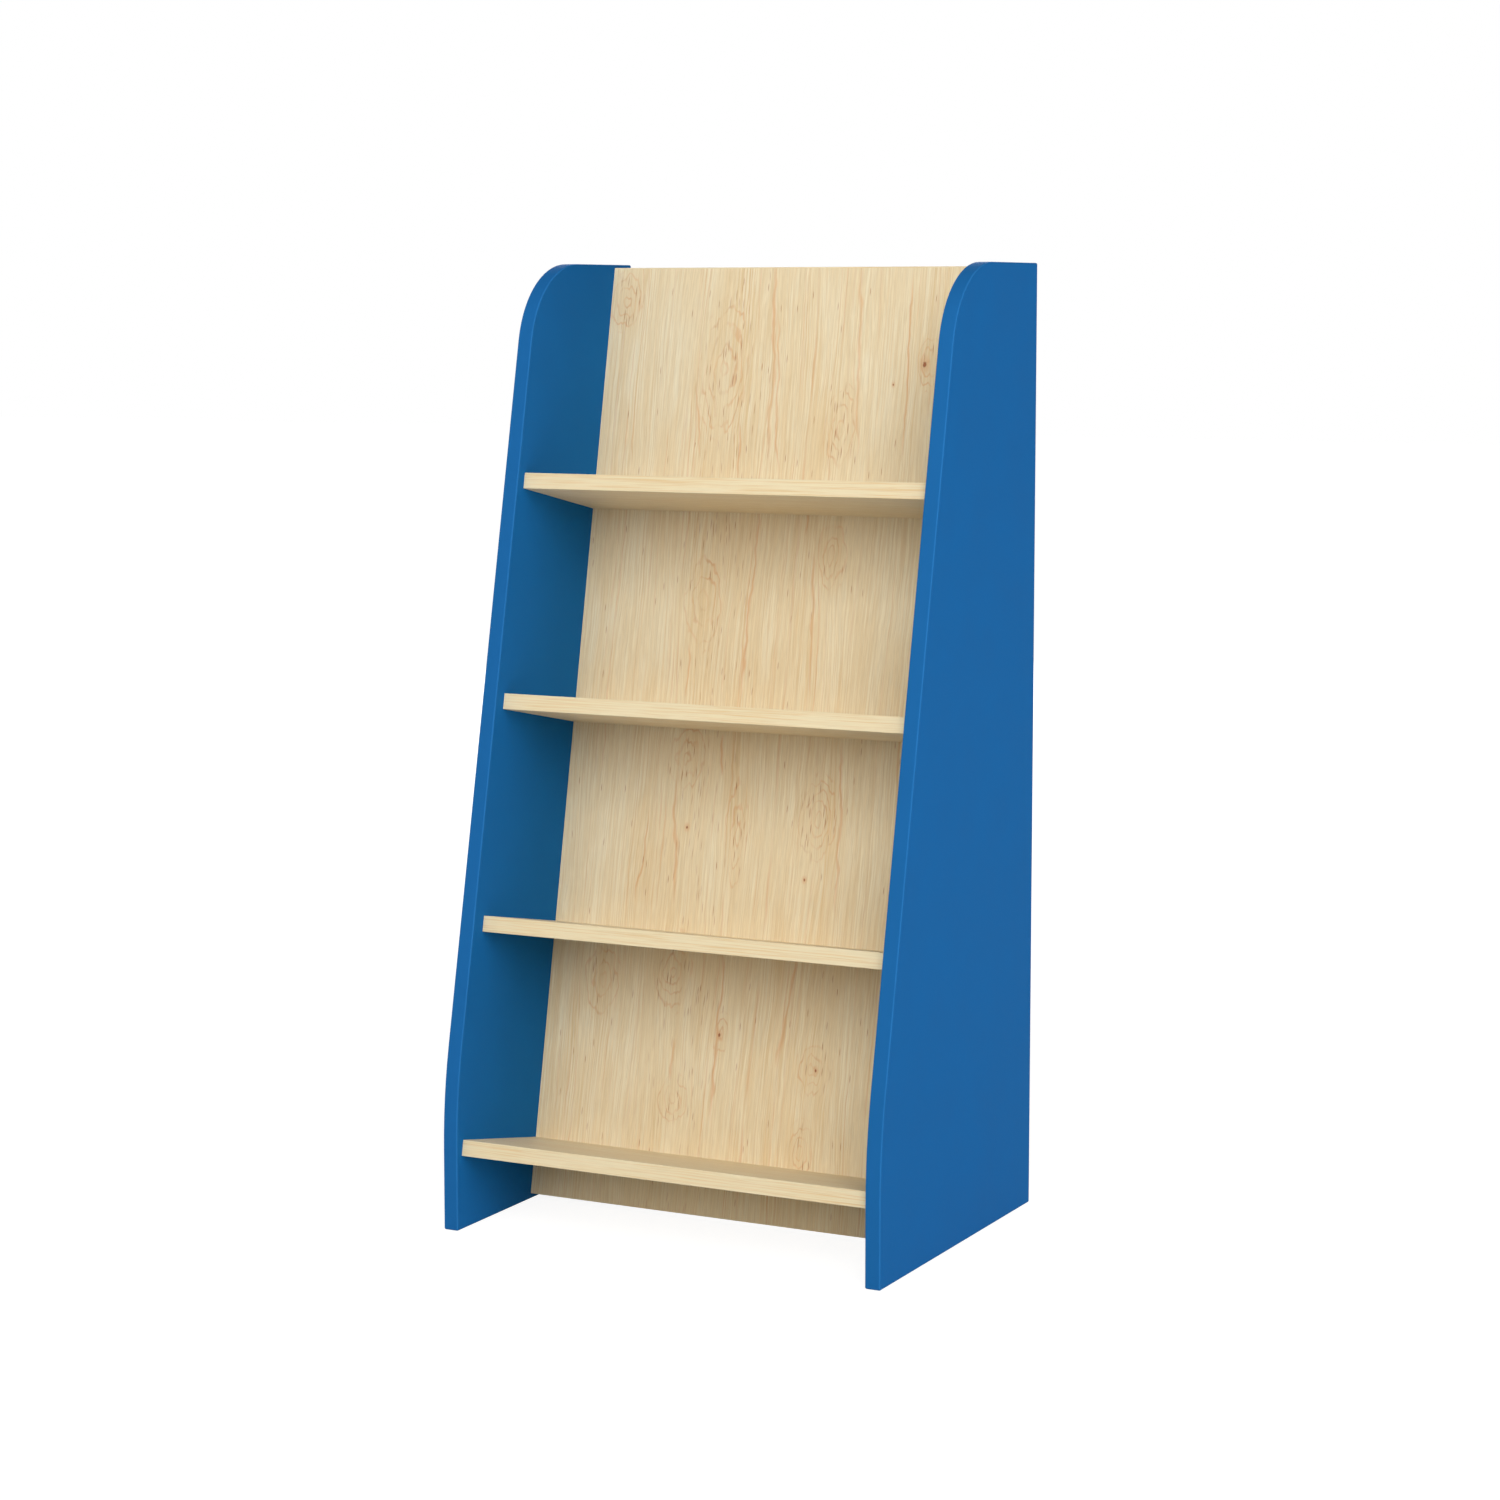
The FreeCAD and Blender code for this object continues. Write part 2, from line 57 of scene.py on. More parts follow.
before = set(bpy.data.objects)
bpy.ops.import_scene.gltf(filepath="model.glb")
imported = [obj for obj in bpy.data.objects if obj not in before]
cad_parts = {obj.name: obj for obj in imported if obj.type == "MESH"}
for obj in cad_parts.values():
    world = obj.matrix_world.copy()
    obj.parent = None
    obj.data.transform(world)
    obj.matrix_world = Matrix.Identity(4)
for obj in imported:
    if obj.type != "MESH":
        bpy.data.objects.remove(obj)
START_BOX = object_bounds()
BODY = "root"
SIDES = ("left", "right")
SHELVES = sorted(
    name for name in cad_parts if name.startswith("shelf_") and name.endswith("_board")
)
MILLIMETRE = 0.001


def panel_lean():
    """How far the back panel leans from upright, from the step between two shelves."""
    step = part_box(SHELVES[1])[0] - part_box(SHELVES[0])[0]
    return math.atan2(step.y, step.z)


LEAN = panel_lean()
ACROSS = Vector((1, 0, 0))
UP_PANEL = Vector((0, math.sin(LEAN), math.cos(LEAN)))
OUT_OF_REAR = Vector((0, math.cos(LEAN), -math.sin(LEAN)))
# Turns that lay a piece modelled upright across the bookcase, or point it out of the rear
TO_ACROSS = Euler((0, math.pi / 2, 0))
TO_REAR = Euler((-math.pi / 2 - LEAN, 0, 0))


def paint(red, green, blue):
    """A colour given as it looks, from 0 to 255, as the light values that a shader takes."""
    full, knee, slope, offset, power = 255, 0.04045, 12.92, 0.055, 2.4
    shares = [level / full for level in (red, green, blue)]
    return tuple(
        share / slope if share <= knee else ((share + offset) / (1 + offset)) ** power
        for share in shares
    )


def colour_property(name, description, *levels):
    return FloatVectorProperty(
        name=name, description=description, subtype="COLOR", size=3, min=0, max=1, default=paint(*levels)
    )


def length_property(name, description, metres):
    return FloatProperty(
        name=name, description=description, subtype="DISTANCE", unit="LENGTH", default=metres
    )


def angle_property(name, description, degrees):
    return FloatProperty(
        name=name, description=description, subtype="ANGLE", default=math.radians(degrees)
    )


def power_property(name, description, watts):
    return FloatProperty(name=name, description=description, unit="POWER", default=watts)


class BookcaseBlue(bpy.types.PropertyGroup):
    """The blue faced side boards and their edging."""

    face: colour_property("Face", "Colour of the laminate on the side boards", 24, 103, 168)
    strip: colour_property("Strip", "Colour of the edging on the side boards", 31, 101, 162)
    # Paler blue painted on the rounded arrises of the side boards: a painted highlight
    worn: colour_property("Arris highlight", "Paler colour painted as a highlight on the arrises", 58, 132, 196)
    pebble: length_property("Pebble", "Width of the fine pebbling of the laminate", 0.0009)


class BookcaseMaple(bpy.types.PropertyGroup):
    """The maple faced shelves and back panel."""

    pale: colour_property("Pale wood", "Wood between the growth lines", 230, 212, 175)
    # Straw is also the colour of the painted highlight on the edging's arrises
    straw: colour_property("Straw wood", "Pale yellow streaks", 239, 226, 195)
    tan: colour_property("Tan wood", "Darker stripes and patches", 222, 190, 139)
    line: colour_property("Growth line", "Reddish line that ends a year's growth", 219, 169, 121)
    fleck: colour_property("Fleck", "Short dark flecks among the fibres", 166, 88, 46)
    knot: colour_property("Knot", "Heart of a pin knot", 146, 72, 38)
    strip: colour_property("Strip", "Edging of the shelves", 231, 215, 178)
    ring_width: length_property("Ring width", "Distance from one growth ring to the next", 0.0056)
    fibre_width: length_property("Fibre width", "Width of the finest streaks", 0.0009)


class BookcaseFastenings(bpy.types.PropertyGroup):
    """The dowels, the screws and their caps."""

    dowel: colour_property("Dowel", "Beech of the dowels", 205, 168, 124)
    zinc: colour_property("Zinc", "Plating of the screws", 198, 200, 202)
    cap: colour_property("Cap", "Moulded caps over the screw heads", 222, 199, 160)
    flute_depth: length_property("Flute depth", "Depth of the grooves along a dowel", 0.00025)
    thread_pitch: length_property("Thread pitch", "Step from one turn of a thread to the next", 0.0022)
    thread_depth: length_property("Thread depth", "Height of a screw's thread", 0.0008)
    cap_dome: length_property("Cap dome", "Rise of a cap's crown above its rim", 0.0006)


class BookcaseStage(bpy.types.PropertyGroup):
    """The floor, the lamps and the camera."""

    floor: colour_property("Floor", "Colour of the floor", 228, 228, 227)
    sky: FloatProperty(name="Sky", description="Strength of the even light all round", default=0.07)
    key: power_property("Key lamp", "Power of the main lamp", 408)
    front: power_property("Front lamp", "Power of the lamp in front", 222)
    side: power_property("Side lamp", "Power of the lamp to the right", 37)
    high: power_property("High lamp", "Power of the lamp above", 185)
    rear: power_property("Rear lamp", "Power of the lamp behind", 330)
    left: power_property("Left lamp", "Power of the lamp to the left", 105)
    camera_place: FloatVectorProperty(
        name="Camera place",
        description="Where the camera stands",
        subtype="XYZ",
        unit="LENGTH",
        default=(2.4487, -4.7682, 1.4386),
    )
    camera_turn: angle_property("Camera turn", "Turn to the left of straight back", 27.031)
    camera_tilt: angle_property("Camera tilt", "Tilt down from level", 6.39)
    focal_length: FloatProperty(
        name="Focal length", description="Lens of the camera", unit="CAMERA", default=83.05
    )
    camera_drop: FloatProperty(
        name="Camera drop", description="Share of the picture that the lens shifts by", default=-0.04
    )


class NodeSheet:
    """Adds nodes to a tree in rows, and links or sets their sockets."""

    COLUMN = 220
    ROW = 320
    PER_ROW = 8
    # Where a Mix node has its factor, its two colours and its result
    MIX_INPUTS = (0, 6, 7)
    MIX_RESULT = 2
    NOISE_MIDDLE = 0.5

    def __init__(self, tree):
        self.tree = tree
        tree.nodes.clear()

    def add(self, kind, sockets=None, **settings):
        node = self.tree.nodes.new(kind)
        row, column = divmod(len(self.tree.nodes) - 1, self.PER_ROW)
        node.location = (column * self.COLUMN, -row * self.ROW)
        for name, value in settings.items():
            setattr(node, name, value)
        for key, value in (sockets or {}).items():
            self.feed(node.inputs[key], value)
        return node

    def feed(self, socket, value):
        if isinstance(value, bpy.types.NodeSocket):
            self.tree.links.new(value, socket)
        else:
            socket.default_value = value

    def math(self, operation, *values):
        return self.add("ShaderNodeMath", dict(enumerate(values)), operation=operation).outputs[0]

    def plus(self, first, second):
        return self.math("ADD", first, second)

    def minus(self, first, second):
        return self.math("SUBTRACT", first, second)

    def times(self, first, *others):
        """The product of two or more values."""
        for value in others:
            first = self.math("MULTIPLY", first, value)
        return first

    def weighed(self, *pairs):
        """The sum of values that are each given with a share."""
        total, *others = (self.times(value, share) for value, share in pairs)
        for value in others:
            total = self.plus(total, value)
        return total

    def distance(self, first, second):
        return self.math("ABSOLUTE", self.minus(first, second))

    def vector(self, operation, *values):
        node = self.add("ShaderNodeVectorMath", dict(enumerate(values)), operation=operation)
        return node.outputs["Value" if operation in ("DOT_PRODUCT", "LENGTH") else "Vector"]

    def stretched(self, vector, width, length):
        """The vector counted in widths across the grain and in lengths along it."""
        return self.vector("DIVIDE", vector, self.combine(X=width, Y=width, Z=length))

    def noise(self, vector, width, length, detail=2.0, roughness=0.5):
        """Noise from 0 to 1 in blots of a width across the grain and a length along it."""
        place = self.stretched(vector, width, length)
        sockets = {"Vector": place, "Scale": 1.0, "Detail": detail, "Roughness": roughness}
        return self.add("ShaderNodeTexNoise", sockets).outputs[0]

    def unevenness(self, vector, width, length, detail=2.0):
        """Noise that goes below 0 as far as above it."""
        return self.minus(self.noise(vector, width, length, detail), self.NOISE_MIDDLE)

    def step(self, value, low, high):
        """Rises smoothly from 0 at low to 1 at high."""
        sockets = {"Value": value, "From Min": low, "From Max": high}
        return self.add("ShaderNodeMapRange", sockets, interpolation_type="SMOOTHSTEP").outputs[0]

    def fall(self, value, low, high):
        """Falls smoothly from 1 at low to 0 at high."""
        return self.minus(1.0, self.step(value, low, high))

    def spread(self, value, low, high):
        """Carries 0 to 1 over to low to high."""
        sockets = {"Value": value, "To Min": low, "To Max": high}
        return self.add("ShaderNodeMapRange", sockets).outputs[0]

    def blend(self, factor, first, second):
        """The first colour where the factor is 0, the second where it is 1."""
        node = self.add("ShaderNodeMix", data_type="RGBA")
        mix, low, high = (node.inputs[number] for number in self.MIX_INPUTS)
        self.feed(mix, factor)
        for socket, value in ((low, first), (high, second)):
            self.feed(socket, value if isinstance(value, bpy.types.NodeSocket) else (*value, 1))
        return node.outputs[self.MIX_RESULT]

    def scale(self, vector, share):
        """A colour or a vector times a number."""
        sockets = {0: vector, "Scale": share}
        return self.add("ShaderNodeVectorMath", sockets, operation="SCALE").outputs[0]

    def combine(self, **parts):
        return self.add("ShaderNodeCombineXYZ", parts).outputs[0]

    def separate(self, vector):
        return self.add("ShaderNodeSeparateXYZ", {"Vector": vector}).outputs


def socket_name(word):
    """The name of a group's socket, such as Half width for half_width."""
    return word.replace("_", " ").capitalize()


def build_group(draw, inputs):
    """A new group named after the function that draws it."""
    group = bpy.data.node_groups.new(draw.__name__, "ShaderNodeTree")
    for word, default in inputs.items():
        kind = "NodeSocketVector" if default is None else "NodeSocketFloat"
        socket = group.interface.new_socket(socket_name(word), in_out="INPUT", socket_type=kind)
        if default is not None:
            socket.default_value = default
    sheet = NodeSheet(group)
    given = sheet.add("NodeGroupInput").outputs
    results = draw(sheet, **{word: given[socket_name(word)] for word in inputs})
    for output in results:
        kind = "NodeSocketVector" if output == "Vector" else "NodeSocketFloat"
        group.interface.new_socket(output, in_out="OUTPUT", socket_type=kind)
    sheet.add("NodeGroupOutput", results)
    return group


def node_group(draw):
    """Turns a function that draws nodes into one that places them as a group, which is built once.

    After the sheet come the group's inputs, its vector first, with None as a vector's default. What
    it returns are the outputs by name. Where there is one, placing the group returns just that.
    """
    inputs = {name: argument.default for name, argument in inspect.signature(draw).parameters.items()}
    del inputs["sheet"]

    def place(sheet, vector, **values):
        tree = bpy.data.node_groups.get(draw.__name__) or build_group(draw, inputs)
        sockets = {socket_name(word): value for word, value in values.items()}
        outputs = sheet.add("ShaderNodeGroup", {"Vector": vector, **sockets}, node_tree=tree).outputs
        return outputs if len(outputs) > 1 else outputs[0]

    return place


# Node groups. In each, the vector's Z runs along the grain, in metres.


@node_group
def fibres(sheet, vector=None, width=0.001, length=0.03):
    """Streaks along the grain."""
    return {"Value": sheet.noise(vector, width, length, detail=3.0, roughness=0.6)}


@node_group
def grain_wander(sheet, vector=None, width=0.1, length=0.45, sway=0.03, ripple=0.004):
    """Moves the grain from side to side as it goes, so that no line is ruled."""
    ripples_across, ripples_along = 5.0, 7.0
    slow = sheet.unevenness(vector, width, length, detail=1.0)
    quick_width = sheet.math("DIVIDE", width, ripples_across)
    quick_length = sheet.math("DIVIDE", length, ripples_along)
    quick = sheet.unevenness(vector, quick_width, quick_length)
    moved = sheet.weighed((slow, sway), (quick, ripple))
    return {"Vector": sheet.vector("ADD", vector, sheet.combine(X=moved))}


@node_group
def wood_heart(
    sheet,
    vector=None,
    across=0.0,
    up=0.0,
    half_width=0.02,
    half_height=0.05,
    rings=3.0,
    ring_width=0.006,
    jag=0.0,
):
    """Oval growth lines round a heart, and the shift by which straight rings make room for it."""
    room = 0.7
    full_to, gone_at = 0.95, 1.15
    line_middle, line_reach = 0.5, 0.2
    away = sheet.vector("SUBTRACT", vector, sheet.combine(X=across, Z=up))
    size = sheet.combine(X=half_width, Y=1.0, Z=half_height)
    radius = sheet.vector("LENGTH", sheet.vector("DIVIDE", away, size))
    near = sheet.math("EXPONENT", sheet.times(radius, radius, -1.0))
    straight = sheet.math("DIVIDE", sheet.separate(away)["X"], ring_width)
    turns = sheet.plus(sheet.times(radius, rings), jag)
    gap = sheet.distance(sheet.math("FRACT", turns), line_middle)
    contour = sheet.times(sheet.fall(gap, 0.0, line_reach), sheet.fall(radius, full_to, gone_at))
    return {"Shift": sheet.times(near, straight, -room), "Near": near, "Contour": contour}


@node_group
def vein(sheet, vector=None, low_across=0.0, low=0.0, high_across=0.0, high=1.0, width=0.004):
    """One soft line from a lower to an upper place, fading out at its ends."""
    bluntness = 6.0
    place = sheet.separate(vector)
    share = sheet.math("DIVIDE", sheet.minus(place["Z"], low), sheet.minus(high, low))
    middle = sheet.plus(low_across, sheet.times(sheet.minus(high_across, low_across), share))
    soft = sheet.fall(sheet.distance(place["X"], middle), 0.0, width)
    ends = sheet.times(share, sheet.minus(1.0, share), bluntness)
    between_ends = sheet.math("MINIMUM", sheet.math("MAXIMUM", ends, 0.0), 1.0)
    return {"Mask": sheet.times(soft, between_ends)}


@node_group
def growth_rings(sheet, vector=None, count=0.0):
    """Growth rings: soft stripes, a wider reddish line in some, and where such lines fade and break."""
    bunch_scale, bunching = 0.21, 3.5
    stripe_tones = (0.5, 1.0)
    line_middle, narrowest, widest = 0.5, 0.14, 0.42
    none_below, full_above = 0.62, 1.1
    fade_blots, fade_levels = (0.03, 0.12), (0.35, 0.62)
    break_blots, break_levels = (0.012, 0.04), (0.5, 0.66)
    sockets = {"W": count, "Scale": bunch_scale, "Detail": 1.0}
    slow = sheet.add("ShaderNodeTexNoise", sockets, noise_dimensions="1D").outputs[0]
    uneven = sheet.plus(count, sheet.times(slow, bunching))
    stripe = sheet.spread(sheet.math("COSINE", sheet.times(uneven, math.tau)), *stripe_tones)
    ring = sheet.math("FLOOR", uneven)
    dice = sheet.add("ShaderNodeTexWhiteNoise", {"W": ring}, noise_dimensions="1D").outputs
    away = sheet.distance(sheet.math("FRACT", uneven), line_middle)
    reach = sheet.spread(sheet.separate(dice["Color"])["X"], narrowest, widest)
    chosen = sheet.step(dice["Value"], none_below, full_above)
    fade = sheet.step(sheet.noise(vector, *fade_blots, detail=1.0), *fade_levels)
    line = sheet.times(sheet.fall(away, 0.0, reach), fade, chosen)
    breaks = sheet.step(sheet.noise(vector, *break_blots), *break_levels)
    return {"Stripe": stripe, "Line": line, "Fade": fade, "Breaks": breaks}


@node_group
def flecks(sheet, vector=None, width=0.001, length=0.008, share=0.1):
    """Short dashes along the grain, one in each cell that is chosen."""
    cell_scale = 0.18
    full_to, gone_at = 0.06, 0.2
    place = sheet.separate(sheet.stretched(vector, width, length))
    sockets = {"Vector": sheet.combine(X=place["X"], Y=place["Z"]), "Scale": cell_scale}
    cells = sheet.add("ShaderNodeTexVoronoi", sockets, voronoi_dimensions="2D").outputs
    chosen = sheet.math("LESS_THAN", sheet.separate(cells["Color"])["X"], share)
    return {"Mask": sheet.times(sheet.fall(cells["Distance"], full_to, gone_at), chosen)}


@node_group
def pin_knot(sheet, vector=None, across=0.0, up=0.0, size=0.002, jag=0.0):
    """A pin knot: its dark heart, and the stain round it."""
    height_share = 1.5
    heart_full_to, heart_gone_at = 0.5, 1.2
    stain_full_to, stain_gone_at = 0.8, 4.0
    offset = sheet.vector("SUBTRACT", vector, sheet.combine(X=across, Z=up))
    oval = sheet.combine(X=size, Y=1.0, Z=sheet.times(size, height_share))
    away = sheet.plus(sheet.vector("LENGTH", sheet.vector("DIVIDE", offset, oval)), jag)
    heart = sheet.fall(away, heart_full_to, heart_gone_at)
    stain = sheet.fall(away, stain_full_to, stain_gone_at)
    return {"Heart": heart, "Stain": stain}


@node_group
def rubbed_arris(sheet, vector=None, axis=None, patch=0.05):
    """Mask for a painted highlight on the rounded arrises between the faces that an axis points out of
    and the rest.
    """
    to_full = 4.0
    # The painted highlight keeps at least this share in its weakest noise patches
    least_rubbed = 0.55
    facing = sheet.vector("DOT_PRODUCT", sheet.add("ShaderNodeNewGeometry").outputs["Normal"], axis)
    square = sheet.times(facing, facing)
    arris = sheet.times(square, sheet.minus(1.0, square), to_full)
    patches = sheet.noise(vector, patch, patch, detail=3.0)
    return {"Mask": sheet.times(arris, sheet.spread(patches, least_rubbed, 1.0))}


@node_group
def pebbling(sheet, vector=None, size=0.001, roughness=0.5, vary=0.08):
    """The fine pebbling of a pressed face, and the roughness that varies with handling."""
    pebbles_per_patch = 90.0
    fine = sheet.noise(vector, size, size, detail=1.5)
    patch = sheet.times(size, pebbles_per_patch)
    broad = sheet.noise(vector, patch, patch, detail=3.0)
    gloss = sheet.spread(broad, sheet.minus(roughness, vary), sheet.plus(roughness, vary))
    return {"Height": fine, "Roughness": gloss, "Broad": broad}


# How much of the usual mirror-like reflection each finish has
SPECULAR = {"blue_face": 0.015, "blue_strip": 0.004, "maple": 0.2, "beech": 0.3, "fastening": 0.5}
# How deep the pebbling is
BLUE_RELIEF, FASTENING_RELIEF = 0.03 * MILLIMETRE, 0.02 * MILLIMETRE


class FinishSheet(NodeSheet):
    """The sheet of a new material with one surface shader."""

    def __init__(self, name, specular):
        self.material = bpy.data.materials.new(name)
        self.material.use_nodes = True
        super().__init__(self.material.node_tree)
        self.surface = self.add("ShaderNodeBsdfPrincipled", {"Specular IOR Level": specular})
        self.add("ShaderNodeOutputMaterial", {"Surface": self.surface.outputs[0]})

    def finish(self, colour, roughness, height, relief, metallic=0):
        """Sets the shader, with a bump as deep as the relief, and returns the material."""
        bump = self.add("ShaderNodeBump", {"Height": height, "Distance": relief, "Strength": 1.0})
        sockets = {"Base Color": colour, "Roughness": roughness, "Normal": bump.outputs[0]}
        for name, value in {**sockets, "Metallic": metallic}.items():
            self.feed(self.surface.inputs[name], value)
        return self.material


def object_place(sheet):
    return sheet.add("ShaderNodeTexCoord").outputs["Object"]


def panel_place(sheet):
    """Object coordinates turned to the back panel: X across, Y through it and Z up along it."""
    turn = Euler((LEAN, 0, 0))
    return sheet.add("ShaderNodeMapping", {"Vector": object_place(sheet), "Rotation": turn}).outputs[0]


def along_shelf(sheet, vector):
    """The same place with Z across the bookcase, for grain that runs from side to side."""
    parts = sheet.separate(vector)
    return sheet.combine(X=parts["Y"], Y=parts["Z"], Z=parts["X"])


def blue_material(name, colour, blue):
    """Satin blue, finely pebbled, with a paler blue painted on the rounded arrises as a highlight."""
    tones = (0.95, 1.05)
    worn_share = 0.35
    sheet = FinishSheet(name, SPECULAR[name])
    place = object_place(sheet)
    pebbles = pebbling(sheet, place, size=blue.pebble, roughness=0.5, vary=0.05)
    # Painted highlight: the rounded arrises are blended towards the paler blue
    worn = rubbed_arris(sheet, place, axis=ACROSS, patch=0.06)
    clean = sheet.scale(tuple(colour), sheet.spread(pebbles["Broad"], *tones))
    shade = sheet.blend(sheet.times(worn, worn_share), clean, blue.worn)
    return sheet.finish(shade, pebbles["Roughness"], pebbles["Height"], BLUE_RELIEF)


def named_rows(names, *rows):
    return [dict(zip(names.split(), row)) for row in rows]


# Marks on the back panel, in metres across it from its middle and up along it
PANEL_HEARTS = named_rows(
    "across up half_width half_height rings",
    (-0.322, 1.455, 0.034, 0.048, 3),
    (-0.125, 1.345, 0.044, 0.110, 4),
    (0.085, 1.255, 0.026, 0.070, 3),
    (0.228, 1.360, 0.024, 0.045, 3),
    (-0.130, 0.970, 0.034, 0.080, 3),
    (0.092, 1.050, 0.028, 0.060, 3),
    (-0.137, 0.715, 0.034, 0.055, 3),
    (0.100, 0.632, 0.036, 0.070, 4),
    (-0.040, 0.600, 0.022, 0.090, 3),
    (-0.255, 0.350, 0.034, 0.060, 3),
    (-0.127, 0.375, 0.036, 0.065, 4),
    (-0.112, 0.174, 0.030, 0.040, 3),
    (-0.035, 0.282, 0.016, 0.035, 2),
    (0.138, 0.243, 0.032, 0.045, 3),
    (0.129, 0.115, 0.026, 0.050, 3),
)
PANEL_VEINS = named_rows(
    "low_across low high_across high width",
    (-0.034, 1.180, -0.056, 1.540, 0.0045),
    (-0.020, 1.170, -0.044, 1.440, 0.0030),
    (0.118, 1.200, 0.096, 1.530, 0.0040),
    (-0.052, 0.790, -0.043, 1.150, 0.0035),
    (0.074, 0.820, 0.056, 1.060, 0.0040),
    (0.040, 1.080, 0.037, 1.150, 0.0030),
    (-0.137, 0.480, -0.153, 0.700, 0.0040),
    (-0.072, 0.690, -0.075, 0.760, 0.0040),
    (0.068, 0.240, 0.092, 0.430, 0.0040),
    (-0.116, 0.200, -0.113, 0.270, 0.0045),
    (-0.036, 0.130, -0.040, 0.440, 0.0035),
    (-0.088, 1.160, -0.096, 1.260, 0.0035),
    (-0.160, 1.200, -0.180, 1.330, 0.0025),
    (-0.146, 0.810, -0.150, 0.900, 0.0030),
    (0.150, 0.480, 0.136, 0.760, 0.0035),
    (0.196, 1.200, 0.190, 1.500, 0.0030),
    (-0.205, 0.480, -0.196, 0.640, 0.0025),
)
PANEL_KNOTS = named_rows(
    "across up size",
    (0.221, 1.355, 0.0034),
    (0.170, 1.323, 0.0012),
    (-0.125, 0.605, 0.0018),
    (0.090, 0.537, 0.0016),
    (-0.035, 0.282, 0.0020),
    (0.138, 0.243, 0.0018),
)
# The upright column with most flecks: its middle, and its half widths where full and where gone
FLECK_COLUMN = (-0.10, 0.03, 0.09)

# Streaks in the maple: length in metres, and the levels of noise at which they begin and are full
FIBRE_STREAKS = (0.03, 0.3, 0.7)
NARROW_STREAKS = (0.2, 0.43, 0.57)
BROAD_STREAKS = (0.5, 0.38, 0.66)
CLOUDS = (0.4, 0.38, 0.68)
LIVELY_PATCHES = (0.16, 0.36, 0.6)
STRIP_STREAKS = (0.15, 0.45, 0.7)
STRIP_LINES = (0.2, 0.54, 0.62)
# Widths of streaks, two in growth rings and the others in metres
NARROW_RINGS, BROAD_RINGS = 0.45, 2.4
CLOUD_WIDTH, PATCH_WIDTH, STRIP_STREAK_WIDTH, STRIP_LINE_WIDTH = 0.07, 0.03, 0.003, 0.0022
# How far each mark turns the wood tan, and how far others turn it to their own colours
TAN = {"broad": 0.2, "clouds": 0.3, "hearts": 0.12, "stripes": 0.19, "fibres": 0.12}
SHADES = {"straw": 0.62, "core": 0.12, "fleck": 0.8, "knot_stain": 0.5, "knot_heart": 0.85}
# The arris share is how far the painted highlight on the edging's arrises goes towards straw
STRIP_SHADES = {"streaks": 0.6, "lines": 0.7, "arris": 0.5}


def streaks(sheet, grain, width, kind):
    """Where streaks of a width and a kind run along the grain."""
    length, low, high = kind
    return sheet.step(fibres(sheet, grain, width=width, length=length), low, high)


def ring_count(sheet, grain, ring_width, hearts):
    """The rings counted from the board's middle, the lines round hearts, and the hearts' mask."""
    jag_width, jag_length, heart_jag = 0.016, 0.045, 2.4
    outside, inside = 0.15, 0.75
    count = sheet.math("DIVIDE", sheet.separate(grain)["X"], ring_width)
    jag = sheet.unevenness(grain, jag_width, jag_length)
    wobble = sheet.times(jag, heart_jag)
    nearest = contour = 0.0
    for row in hearts:
        heart = wood_heart(sheet, grain, ring_width=ring_width, jag=wobble, **row)
        count = sheet.plus(count, heart["Shift"])
        nearest = sheet.math("MAXIMUM", heart["Near"], nearest)
        contour = sheet.math("MAXIMUM", heart["Contour"], contour)
    return sheet.plus(count, jag), contour, sheet.step(nearest, outside, inside)


def add_veins(sheet, place, line, veins):
    """The growth lines with the veins added, which sway less than the grain does."""
    blot_width, blot_length, sway = 0.03, 0.06, 0.02
    drift = sheet.times(sheet.noise(place, blot_width, blot_length), sway)
    between = sheet.vector("ADD", place, sheet.combine(X=sheet.minus(drift, sway / 2)))
    for row in veins:
        line = sheet.math("MAXIMUM", line, vein(sheet, between, **row))
    return line


